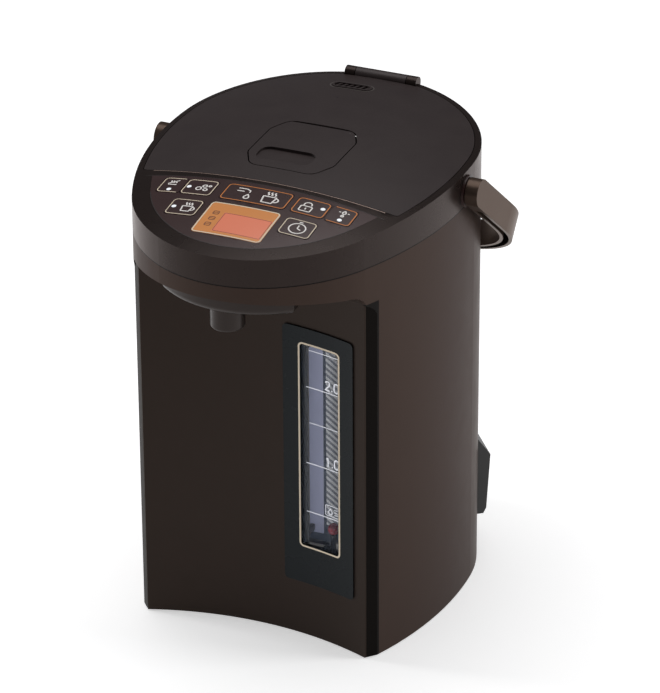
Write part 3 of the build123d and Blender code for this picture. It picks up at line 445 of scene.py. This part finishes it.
# %% Inner materials
inner_grey = material("inner_grey", srgb(112, 110, 106), srgb(122, 119, 115), 0.45, 0.55)
board_green = material("board_green", srgb(52, 92, 66), srgb(60, 104, 74), 0.35, 0.45)
steel = material("steel", srgb(176, 175, 172), srgb(186, 185, 182), 0.24, 0.34, pitch=1400.0, Metallic=1.0)
brass = material("brass", srgb(190, 160, 98), srgb(200, 170, 108), 0.24, 0.32, Metallic=1.0)
wool = material("wool", srgb(204, 198, 188), srgb(216, 210, 200), 0.85, 0.95, pitch=700.0, height=0.0003)
rubber = material("rubber", srgb(44, 43, 42), srgb(52, 51, 50), 0.7, 0.8)
red_ball = material("red_ball", srgb(178, 60, 72), srgb(188, 70, 80), 0.2, 0.25)
print("materials", len(bpy.data.materials))

# %% [markdown]
# ## Inks
# Ink is matt and has no grain. The scale's ink glows a little as painted light, which lifts it out of the
# shade it lies in behind the clear window; the key lamps glow because they are lit from below.

# %% Ink materials
cream_ink = material("cream_ink", srgb(222, 206, 180), srgb(228, 212, 188), 0.45, 0.55, height=0)
orange_ink = material("orange_ink", srgb(206, 122, 52), srgb(214, 130, 58), 0.45, 0.55, height=0)
white_ink = material("white_ink", srgb(236, 232, 228), srgb(242, 238, 234), 0.45, 0.55, height=0)
dark_ink = material("dark_ink", srgb(112, 64, 40), srgb(118, 70, 44), 0.45, 0.55, height=0)
# The glow of the scale's ink is painted light against the shade behind the window.
scale_ink_painted_glow = material("scale_ink_painted_glow", srgb(236, 237, 242), srgb(242, 243, 248), 0.45, 0.55, height=0,
                     Emission_Color=(0.9, 0.92, 1, 1), Emission_Strength=0.3)
lens_line = material("lens_line", srgb(30, 20, 20), srgb(34, 24, 23), 0.4, 0.5, height=0)
# Painted shade: the near black strip at the left of the window, where the cover's side wall shades the card.
painted_wall_shade = material("painted_wall_shade", srgb(9, 14, 17), srgb(11, 16, 20), 0.4, 0.5, height=0)
vent_grey = material("vent_grey", srgb(74, 68, 66), srgb(80, 74, 71), 0.3, 0.36, height=0)
# Painted highlight: the pale glint along the lid's front edge, drawn as a line on the housing.
painted_edge_highlight = material("painted_edge_highlight", srgb(170, 148, 138), srgb(178, 155, 145), 0.3, 0.35, height=0,
                      Metallic=0.5)
lamp_white = material("lamp_white", srgb(238, 242, 246), srgb(244, 247, 250), 0.2, 0.25, height=0,
                      Emission_Color=(0.8, 0.85, 0.9, 1), Emission_Strength=0.35)
print("materials", len(bpy.data.materials))

# %% [markdown]
# ## Clear window and sight tube
# Both are thin and clear, and the water scale has to be read through them. Glass that bends light would
# hide the thin lines, so the plastic is mostly see-through by its alpha, with a gloss that shows where it
# is.

# %% Clear materials
def clear(name, colour, alpha, rough=0.05):
    mat, tree, shader = blank(name)
    shader.inputs["Base Color"].default_value = colour
    shader.inputs["Alpha"].default_value = alpha
    drift = add(tree, "ShaderNodeGroup", node_tree=mottle)
    drift.inputs["Low"].default_value = rough
    drift.inputs["High"].default_value = rough + 0.03
    tree.links.new(drift.outputs["Roughness"], shader.inputs["Roughness"])
    return mat


window_clear = clear("window_clear", srgb(120, 130, 150), 0.06)
tube_clear = clear("tube_clear", srgb(150, 155, 165), 0.05)
print("clear", window_clear.name, tube_clear.name)

# %% [markdown]
# ## Fields of colour
# The display is amber with a rose field, and the scale card is slate with a paler strip. Both are a box of
# one colour on another, so one function tests the place along two axes and mixes the two colours.

# %% Boxed field
def band(tree, along, low, high):
    """1 where a coordinate lies between two values in millimetres."""
    test = add(tree, "ShaderNodeMath", operation="COMPARE")
    test.inputs[1].default_value = (low + high) / 2 * MM
    test.inputs[2].default_value = (high - low) / 2 * MM
    tree.links.new(along, test.inputs[0])
    return test.outputs[0]


def both(tree, one, other):
    meet = add(tree, "ShaderNodeMath", operation="MULTIPLY")
    wire(tree, (one, meet.inputs[0]), (other, meet.inputs[1]))
    return meet.outputs[0]


def boxed(name, back, front, box, rough):
    """Front colour inside a box in the plane of two axes, back colour outside it."""
    mat, tree, shader = blank(name)
    where = add(tree, "ShaderNodeTexCoord")
    axes = add(tree, "ShaderNodeSeparateXYZ")
    tree.links.new(where.outputs["Object"], axes.inputs["Vector"])
    masks = [band(tree, axes.outputs[axis], *limits) for axis, limits in box.items()]
    field = add(tree, "ShaderNodeMix", data_type="RGBA")
    field.inputs["A"].default_value = back
    field.inputs["B"].default_value = front
    tree.links.new(both(tree, *masks), field.inputs["Factor"])
    shader.inputs["Roughness"].default_value = rough
    return mat, tree, axes, field.outputs["Result"]


def glow(tree, colour, strength):
    """Shows a colour, and lights it from within."""
    shader = tree.nodes["Principled BSDF"]
    wire(tree, (colour, shader.inputs["Base Color"]), (colour, shader.inputs["Emission Color"]))
    shader.inputs["Emission Strength"].default_value = strength


print("field helpers ready")

# %% [markdown]
# ## The lit display
# A backlight shines through an amber filter, and the reading stands on a rose field at its right.

# %% Display material
ROSE_FIELD = {"X": (-10.5, 21.6), "Y": (-109.6 + FRAME_Y, -89.0 + FRAME_Y)}
display_glow, display_tree, _, display_colour = boxed("display_glow", srgb(188, 124, 72), srgb(204, 118, 92),
                                                      ROSE_FIELD, 0.2)
glow(display_tree, display_colour, 0.3)
print("display ready")

# %% [markdown]
# ## The scale card
# Behind the sight tube the card has slanted bars. Water in the tube bends their picture, so that the level
# can be read. A saw wave of x and z gives the slant, and a threshold makes sharp bars of it. The card also
# glows a
# little: painted light against the shade it sits in.

# %% Scale card material
PALE_STRIP = {"X": (25.5, 36.4), "Z": (68, 215)}
BAR_STRIP = {"X": (38.3, 50.7), "Z": (75.0, 200.0)}
BAR_SLOPE = 0.7
BAR_PITCH = 2.1

scale_card_painted_glow, card, axes, slate = boxed("scale_card_painted_glow", srgb(66, 74, 88), srgb(176, 180, 208), PALE_STRIP, 0.5)
slant = add(card, "ShaderNodeMath", operation="MULTIPLY_ADD")
slant.inputs[1].default_value = BAR_SLOPE
saw = add(card, "ShaderNodeMath", operation="PINGPONG")
saw.inputs[1].default_value = BAR_PITCH * MM
dark = add(card, "ShaderNodeMath", operation="GREATER_THAN")
dark.inputs[1].default_value = BAR_PITCH * MM / 2
bars = add(card, "ShaderNodeMix", data_type="RGBA")
bars.inputs["A"].default_value = srgb(150, 154, 164)
bars.inputs["B"].default_value = srgb(250, 251, 255)
over = add(card, "ShaderNodeMix", data_type="RGBA")
masks = [band(card, axes.outputs[axis], *limits) for axis, limits in BAR_STRIP.items()]
wire(card,
     (axes.outputs["X"], slant.inputs[0]),
     (axes.outputs["Z"], slant.inputs[2]),
     (slant.outputs[0], saw.inputs[0]),
     (saw.outputs[0], dark.inputs[0]),
     (dark.outputs[0], bars.inputs["Factor"]),
     (both(card, *masks), over.inputs["Factor"]),
     (slate, over.inputs["A"]),
     (bars.outputs["Result"], over.inputs["B"]))
# The card's glow is painted light: it lifts the card out of the deep shade behind the window and tube.
glow(card, over.outputs["Result"], 0.22)
print("scale card nodes", len(card.nodes))

# %% [markdown]
# ## Key places
# Seven keys stand in two rows on the film. Their plan sizes are needed for their finish and for their
# prints.

# %% Key sizes
REAR_ROW = -65.6
FRONT_ROW = -89.3
KEY_DEPTH = 17.6
KEY_SIZES = {
    "key_pour": (0.0, REAR_ROW, 43.5, 18.4),
    "key_lamp_left": (-57.0, REAR_ROW, 15.6, KEY_DEPTH),
    "key_boil": (-38.3, REAR_ROW, 20.4, KEY_DEPTH),
    "key_unlock": (36.3, REAR_ROW, 21.6, KEY_DEPTH),
    "key_slow": (56.4, REAR_ROW, 16.4, KEY_DEPTH),
    "key_keep_warm": (-37.8, FRONT_ROW, 20.4, KEY_DEPTH),
    "key_timer": (37.8, FRONT_ROW, 20.4, KEY_DEPTH),
}
print("keys", len(KEY_SIZES))

# %% [markdown]
# ## The solids get their materials
# One table says which finish each solid wears, and a list of what was left bare shows that it is complete.

# %% Finishes
FINISH = {
    body_paint: "outer_shell",
    handle_paint: "handle",
    top_paint: "lid_cover lid_lever steam_vent",
    housing_paint: "top_housing",
    panel_paint: "front_panel",
    trim_paint: "spout spout_housing",
    hub_paint: "handle_pivot_left handle_pivot_right",
    film: "control_film " + " ".join(KEY_SIZES),
    display_glow: "display_lens",
    inner_grey: "display_module gauge_brackets key_switches pot_support latch_guide latch_bolt pump_housing "
                "impeller base_plate lid_liner",
    board_green: "control_board",
    gauge_skin: "gauge_cover",
    window_clear: "gauge_window",
    tube_clear: "gauge_tube",
    scale_card_painted_glow: "gauge_scale",
    red_ball: "level_ball",
    steel: "inner_container heater_plate thermistor pump_motor drive_magnet latch_spring hinge_pin lever_pin "
           "base_screws",
    wool: "insulation_jacket",
    rubber: "gauge_fittings riser_pipe lid_gasket feet",
    inlet_black: "inlet_housing",
    brass: "inlet_contacts",
}
dressed = {name: mat for mat, names in FINISH.items() for name in names.split()}
for name, mat in dressed.items():
    NODES[name].data.materials.clear()
    NODES[name].data.materials.append(mat)
print("bare solids", sorted(set(NODES) - set(dressed)))

# %% [markdown]
# ## Edges that catch the light
# A moulded edge is never razor sharp, and its small round draws a thin highlight along it. A bevel modifier
# does that on the sharp edges alone and leaves the solid's own mesh as it is. The lid's rim has the widest
# round.

# %% Bevels
EDGE_ROUND = {"outer_shell": 0.5, "top_housing": 0.9, "lid_cover": 0.3, "handle": 0.5, "spout": 0.5,
              "front_panel": 0.5, "gauge_cover": 0.3}
for name, width in EDGE_ROUND.items():
    edge = NODES[name].modifiers.new("edge", "BEVEL")
    edge.width = width * MM
    edge.segments = 2
    edge.limit_method = "ANGLE"
    edge.angle_limit = math.radians(50)
    edge.use_clamp_overlap = True
print("rounded edges on", len(EDGE_ROUND), "solids")

# %% [markdown]
# ## Icons
# Each key carries a small line drawing of what it does: pour, boil, lamp, unlock, slow pour, keep warm,
# timer. They are paths about their own middle, scaled and moved into place, so that a cup or a drop is
# drawn once.

# %% Icon parts
def scaled(path, x, y, size):
    return [(x + size * a, y + size * b) for a, b in path]


def wave(x, y, h):
    return [(x + 0.45 * math.sin(math.pi * i / 4), y + h * i / 8) for i in range(9)]


def drop(x, y, r):
    return [(x, y + 2.1 * r)] + arc(x, y, r, 150, 390)


SHUT = True
OPEN = False
CUP = [([(-3.0, 1.6), (-2.3, -3.2), (2.3, -3.2), (3.0, 1.6)], SHUT), (arc(3.0, -0.6, 1.5, -100, 80), OPEN)]
STEAM = [(wave(x, 2.6, 2.4), OPEN) for x in (-1.6, 0.0, 1.6)]
SPOUT = [([(-3.4, 3.6), (0.4, 3.6), (2.2, 2.6), (2.2, 1.2)], OPEN), ([(-3.4, 1.6), (-0.2, 1.6)], OPEN),
         (drop(2.2, -2.4, 1.1), SHUT)]
BUBBLES = [(arc(-2.2, -1.0, 1.5, 0, 340), SHUT), (arc(1.9, -1.7, 1.1, 0, 340), SHUT),
           (arc(0.4, 1.8, 1.2, 0, 340), SHUT), (arc(3.3, 2.2, 0.7, 0, 330, 8), SHUT)]
NO_STEAM = STEAM + [([(-3.2, 1.4), (3.2, 5.8)], OPEN), ([(-2.8, 0.6), (2.8, 0.6)], OPEN)]
PADLOCK = [(rounded(0, -1.6, 6.2, 4.6, 0.8, 3), SHUT),
           ([(-2.0, 0.7), (-2.0, 2.2)] + arc(0, 2.2, 2.0, 180, 0) + [(2.0, 1.6)], OPEN),
           ([(0, -0.8), (0, -2.4)], OPEN)]
DROPS = [(drop(0, 1.0, 1.1), SHUT), (drop(0, -2.6, 0.8), SHUT), ([(-3.4, 1.2), (-2.2, 1.2)], OPEN),
         ([(2.2, 1.2), (3.4, 1.2)], OPEN)]
CLOCK = [(arc(0, 0, 4.0, 0, 348, 26), SHUT), ([(0, 0), (0, 2.6)], OPEN), ([(0, 0), (1.9, -0.9)], OPEN),
         ([(-0.9, 5.2), (0.9, 5.2)], OPEN)]
print("icon strokes", sum(len(i) for i in (CUP, STEAM, SPOUT, BUBBLES, PADLOCK, DROPS, CLOCK)))

# %% [markdown]
# ## Prints on the keys
# A key shows a frame, its icon or icons and, on some, a small lamp. Where two keys stand side by side, the
# outer one leaves the side towards its neighbour open, so that the pair reads as one double frame.

# %% Key print places
KEY_PROUD = 0.15
FILM_LIFT = 0.03
KEY_PRINT = KEY_PROUD + FILM_LIFT
FRAME_LINE = 0.6
FRAME_MARGIN_X = 1.2
FRAME_MARGIN_Y = 1.4
FRAME_CORNER = 2.4
OPEN_END = 1.6
OPEN_SIDE = {"key_lamp_left": 1, "key_slow": -1}
ORANGE_KEYS = ("key_pour", "key_unlock", "key_slow")
ICON_LINE = 0.85
ICON_LINE_POUR_CUP = 0.95
ICONS = {
    "key_pour": [(SPOUT, -8.8, -65.8, 1.5, ICON_LINE), (CUP + STEAM, 8.6, -66.6, 1.45, ICON_LINE_POUR_CUP)],
    "key_boil": [(BUBBLES, -36.0, -65.8, 1.15, ICON_LINE)],
    "key_lamp_left": [(NO_STEAM, -57.4, -65.6, 1.0, ICON_LINE)],
    "key_unlock": [(PADLOCK, 33.6, -66.2, 1.2, ICON_LINE)],
    "key_slow": [(DROPS, 56.8, -63.0, 1.0, ICON_LINE)],
    "key_keep_warm": [(CUP + STEAM, -35.8, -90.0, 1.15, ICON_LINE)],
    "key_timer": [(CLOCK, 37.8, -89.9, 1.3, ICON_LINE)],
}
LAMP_R = 1.5
LAMP_THICK = 0.08
LAMPS = {"key_lamp_left": (-57.0, -70.8), "key_boil": (-45.4, -65.8), "key_keep_warm": (-44.6, -89.6),
         "key_unlock": (43.6, -64.2), "key_slow": (57.0, -70.2)}
print("icons", len(ICONS), "lamps", len(LAMPS))

# %% Key prints
def key_frame(bm, name):
    x, y, w, d = KEY_SIZES[name]
    loop = rounded(0, 0, w - FRAME_MARGIN_X, d - FRAME_MARGIN_Y, FRAME_CORNER)
    side = OPEN_SIDE.get(name)
    if side is None:
        stroke(bm, [(x + a, y + b) for a, b in loop], FRAME_LINE, on_top, KEY_PRINT, closed=True)
        return
    end_x = w / 2 - OPEN_END
    end_y = (d - FRAME_MARGIN_Y) / 2
    half = [(end_x, end_y)] + [p for p in loop if p[0] < 0] + [(end_x, -end_y)]
    stroke(bm, [(x + side * a, y + b) for a, b in half], FRAME_LINE, on_top, KEY_PRINT)


for name in KEY_SIZES:
    body = name + "_body"
    bm = bmesh.new()
    key_frame(bm, name)
    piece(name + "_frame", bm, orange_ink if name in ORANGE_KEYS else cream_ink, body)
    bm = bmesh.new()
    for drawing, x, y, size, width in ICONS[name]:
        for path, closed in drawing:
            stroke(bm, scaled(path, x, y, size), width, on_top, KEY_PRINT, closed=closed, step=1.0)
    piece(name + "_icon", bm, white_ink, body)
    if name in LAMPS:
        bm = bmesh.new()
        patch(bm, arc(*LAMPS[name], LAMP_R, 0, 345, 23), on_top, KEY_PRINT, LAMP_THICK)
        piece(name + "_lamp", bm, lamp_white, body, smooth=True)
print("key prints", len(KEY_SIZES), "lamps", len(LAMPS))

# %% [markdown]
# ## Lines round the film
# The film ends in a fine dark line just inside its own edge. In front it follows the nose, whose plan is a
# chain of arcs that meet without a corner, so the line walks the same arcs with its radius reduced by the
# inset. A pale line on the housing just behind the film is a painted highlight, the glint along the lid's
# front edge.

# %% Film and housing lines
NOSE_ARCS = ((75.5, 31.2, 99.7), (99.7, 33.9, 244.0))
FINE_LINE = 0.5
ON_FILM = 0.02
FILM_INSET = 11.7
FILM_HALF = 80.5
FILM_BACK_Y = -52.3
FILM_SAG = 3.0
HOUSING_HIGHLIGHT_Y = -48.4


def nose_line(inset, span):
    """Part of the body outline at the nose, set in, as points from one side to the other."""
    points = []
    cx, cy, heading = 0.0, NOSE_Y + NOSE_ARCS[0][0], 0.0
    for radius, sweep, following in NOSE_ARCS:
        for i in range(13):
            t = math.radians(heading + sweep * i / 12)
            points.append((cx + (radius - inset) * math.sin(t), cy - (radius - inset) * math.cos(t)))
        heading += sweep
        t = math.radians(heading)
        cx += math.sin(t) * (radius - following)
        cy -= math.cos(t) * (radius - following)
    points = [p for p in points if p[0] < span]
    return [(-a, b) for a, b in points[::-1]] + points[1:]


bm = bmesh.new()
stroke(bm, nose_line(FILM_INSET, FILM_HALF), FINE_LINE, on_top, ON_FILM)
back_line = [(x, FILM_BACK_Y - FILM_SAG * (x / 82.0) ** 2) for x in range(-80, 81, 4)]
stroke(bm, back_line, FINE_LINE, on_top, ON_FILM)
piece("film_edge_line", bm, lens_line, "casing")

# The pale line on the housing along the lid's front edge is a painted highlight, the glint of that edge's
# round.
bm = bmesh.new()
stroke(bm, [(x, HOUSING_HIGHLIGHT_Y) for x in range(-78, 79, 4)], FINE_LINE, on_top, 0.05)
piece("housing_painted_highlight", bm, painted_edge_highlight, "casing")
print("film line from", len(back_line), "points behind")

# %% [markdown]
# ## Display frame and marks
# A cream frame surrounds the display. At its left stand three small marks, and a thin line rings the rose
# field.

# %% Display prints
ON_LENS = 0.03
MARK_X = -15.6
MARK_ROWS = (-90.6, -97.0, -103.4)

bm = bmesh.new()
stroke(bm, rounded(0, -96.0, 44.8, 32.8, 2.2), 0.9, on_top, ON_LENS, closed=True)
piece("display_frame", bm, cream_ink, "casing")

bm = bmesh.new()
for y in MARK_ROWS:
    stroke(bm, rounded(MARK_X, y, 3.6, 3.2, 0.6, 2), 0.6, on_top, ON_LENS, closed=True)
    stroke(bm, [(MARK_X - 1.4, y), (MARK_X + 1.4, y)], FINE_LINE, on_top, ON_LENS)
stroke(bm, rounded(5.6, -99.3, 31.2, 19.6, 0.8, 2), 0.3, on_top, ON_LENS, closed=True)
piece("display_marks", bm, dark_ink, "casing")
print("display marks", len(MARK_ROWS))

# %% [markdown]
# ## On the lid
# The steam vent has a slightly paler rim, and a tiny dark dot in front of it is the painted shade of a dimple
# in the lid.

# %% Lid prints
bm = bmesh.new()
stroke(bm, rounded(-10.0, 105.0, 29.4, 11.4, 5.6, 8), 0.9, on_top, ON_FILM, closed=True, step=1.0)
piece("vent_rim", bm, vent_grey, "lid")
bm = bmesh.new()
# Painted shade of a small dimple in the lid.
patch(bm, arc(-10.6, 82.5, 0.9, 0, 340, 17), on_top, ON_FILM)
piece("lid_dimple_shade", bm, lens_line, "lid")
print("lid prints ready")

# %% [markdown]
# ## Water gauge
# The cream frame lies on the front of the cover. The scale is printed on the back of the clear window,
# where fingers can't wear it off: long lines with a figure, short lines between them, and a drop at the
# refill line.

# %% Gauge frame
COVER_PROUD = 1.0
WINDOW_BACK = -1.64


def on_cover(x, z, lift):
    return on_bowl(x, z, COVER_PROUD + lift)


def behind_window(x, z, lift):
    return on_bowl(x, z, WINDOW_BACK + lift)


bm = bmesh.new()
stroke(bm, rounded(42.0, 138.9, 29.6, 144.8, 2.6), 1.2, on_cover, ON_FILM, closed=True, step=1.5)
piece("gauge_frame", bm, cream_ink, "casing")
print("gauge frame ready")

# %% [markdown]
# ## Scale figures
# Only three figures are needed, so they are drawn as pen strokes too, instead of with a typeface.

# %% Gauge scale
FIGURES = {
    "0": (rounded(1.7, 3.2, 3.1, 6.2, 1.5, 4), SHUT),
    "1": ([(0.7, 5.0), (1.9, 6.3), (1.9, 0.0)], OPEN),
    "2": (arc(1.7, 4.6, 1.6, 160, -30, 8) + [(0.1, 0.1), (3.4, 0.1)], OPEN),
}
FIGURE_LINE = 0.95
BEHIND_INK = 0.05
LINE_RIGHT = 56.4
LONG_LINES = (180.0, 126.0, 91.0)
SHORT_LINES = (206.0, 155.0)
LITRES = ((181.8, "2"), (127.8, "1"))
REFILL = (50.6, 96.4)


def scale_line(bm, left, right, z, width):
    stroke(bm, [(left, z), (right, z)], width, behind_window, BEHIND_INK)


def figure(bm, sign, x, z):
    path, closed = FIGURES[sign]
    stroke(bm, scaled(path, x, z, 1.0), FIGURE_LINE, behind_window, BEHIND_INK, closed=closed, step=1.0)


bm = bmesh.new()
for z in LONG_LINES:
    scale_line(bm, 31.0, LINE_RIGHT, z, 0.6)
for z in SHORT_LINES:
    scale_line(bm, 33.2, LINE_RIGHT, z, 0.5)
for z, whole in LITRES:
    figure(bm, whole, 45.2, z)
    scale_line(bm, 49.8, 50.7, z + 0.5, 0.9)
    figure(bm, "0", 51.8, z)
stroke(bm, rounded(*REFILL, 11.2, 7.4, 0.8, 3), 0.45, behind_window, BEHIND_INK, closed=True)
stroke(bm, drop(REFILL[0] - 2.0, REFILL[1] - 1.2, 1.4), 0.6, behind_window, BEHIND_INK, closed=True, step=0.8)
for rise in (-2.0, -0.2, 1.6):
    scale_line(bm, REFILL[0] + 1.0, REFILL[0] + 3.6, REFILL[1] + rise, 0.5)
piece("gauge_lines", bm, scale_ink_painted_glow, "casing")

# Painted shade: a near black strip behind the window's left side, where the cover's wall shades the card.
bm = bmesh.new()
stroke(bm, [(29.8, 67.0), (29.8, 211.0)], 5.6, behind_window, 0.0, step=1.5)
piece("gauge_wall_painted_shade", bm, painted_wall_shade, "casing")
print("scale lines", len(LONG_LINES) + len(SHORT_LINES), "figures", len(LITRES))

# %% [markdown]
# ## Floor
# A plain pale floor takes the pot's shadow. It gives a little light of its own, so that it stays near
# white.

# %% Floor
FLOOR_REACH = 6.0
floor_paper = material("floor_paper", (0.92, 0.92, 0.92, 1), (0.94, 0.94, 0.94, 1), 0.8, 0.9, height=0,
                       Emission_Color=(1, 1, 1, 1), Emission_Strength=0.5)
bm = bmesh.new()
bmesh.ops.create_grid(bm, x_segments=8, y_segments=8, size=FLOOR_REACH)
mesh = bpy.data.meshes.new("floor")
bm.to_mesh(mesh)
bm.free()
mesh.materials.append(floor_paper)
floor = bpy.data.objects.new("floor", mesh)
bpy.context.scene.collection.objects.link(floor)
print("floor", FLOOR_REACH, "m each way")

# %% [markdown]
# ## World
# The camera sees a white background, while the pot is lit by a much dimmer grey, so that its paint keeps
# its depth.

# %% World
world = bpy.context.scene.world or bpy.data.worlds.new("studio")
bpy.context.scene.world = world
world.use_nodes = True
sky = world.node_tree
sky.nodes.clear()
lit = add(sky, "ShaderNodeBackground")
lit.inputs["Color"].default_value = (0.11, 0.11, 0.115, 1)
seen = add(sky, "ShaderNodeBackground")
seen.inputs["Color"].default_value = (1, 1, 1, 1)
rays = add(sky, "ShaderNodeLightPath")
choice = add(sky, "ShaderNodeMixShader")
out = add(sky, "ShaderNodeOutputWorld")
wire(sky,
     (rays.outputs["Is Camera Ray"], choice.inputs["Fac"]),
     (lit.outputs[0], choice.inputs[1]),
     (seen.outputs[0], choice.inputs[2]),
     (choice.outputs[0], out.inputs["Surface"]))
print("world", world.name)

# %% [markdown]
# ## Lamps
# One broad lamp overhead lights the lid, and tall soft ones at both sides draw the long highlights on the
# round shell. Area lamps are used, because small ones would leave hard spots on the paint.

# %% Lamps
def lamp(name, spot, aim, width, height, power):
    data = bpy.data.lights.new(name, "AREA")
    data.shape = "RECTANGLE"
    data.size = width
    data.size_y = height
    data.energy = power
    obj = bpy.data.objects.new(name, data)
    obj.location = spot
    obj.rotation_euler = (Vector(aim) - Vector(spot)).to_track_quat("-Z", "Y").to_euler()
    bpy.context.scene.collection.objects.link(obj)


lamp("lamp_top", (-0.3, 0.3, 1.9), (0, 0, 0.2), 1.6, 1.6, 19)
lamp("lamp_right", (1.45, 0.45, 0.6), (0.05, 0.0, 0.16), 0.5, 1.5, 11)
lamp("lamp_left", (-1.6, -0.2, 0.6), (-0.05, -0.05, 0.16), 0.4, 1.4, 11)

# %% [markdown]
# ## Camera
# A long lens from in front, above and to the right. Its place and its three axes are stated as vectors,
# which is the plainest way to repeat a view exactly.

# %% Camera
SENSOR = 36.0
PICTURE_HEIGHT_PX = 693.0
FOCAL_LENGTH_PX = 4298.0
VIEW_RIGHT = Vector((0.91650527, 0.39999145, -0.00499298))
VIEW_UP = Vector((-0.18099829, 0.42578993, 0.88653401))
VIEW_BACK = Vector((0.35673198, -0.81160938, 0.46263648))
VIEW_FROM = Vector((993.65, -2216.26 + FRAME_Y, 1438.38)) * MM

cam = bpy.data.objects.new("camera", bpy.data.cameras.new("camera"))
bpy.context.scene.collection.objects.link(cam)
cam.data.sensor_width = SENSOR
cam.data.lens = FOCAL_LENGTH_PX / PICTURE_HEIGHT_PX * SENSOR
cam.data.clip_end = 20.0
turn = Matrix((VIEW_RIGHT, VIEW_UP, VIEW_BACK)).transposed().to_4x4()
cam.matrix_world = Matrix.Translation(VIEW_FROM) @ turn
bpy.context.scene.camera = cam
bpy.context.scene.view_settings.view_transform = "Standard"
print("lens", round(cam.data.lens, 1), "mm")
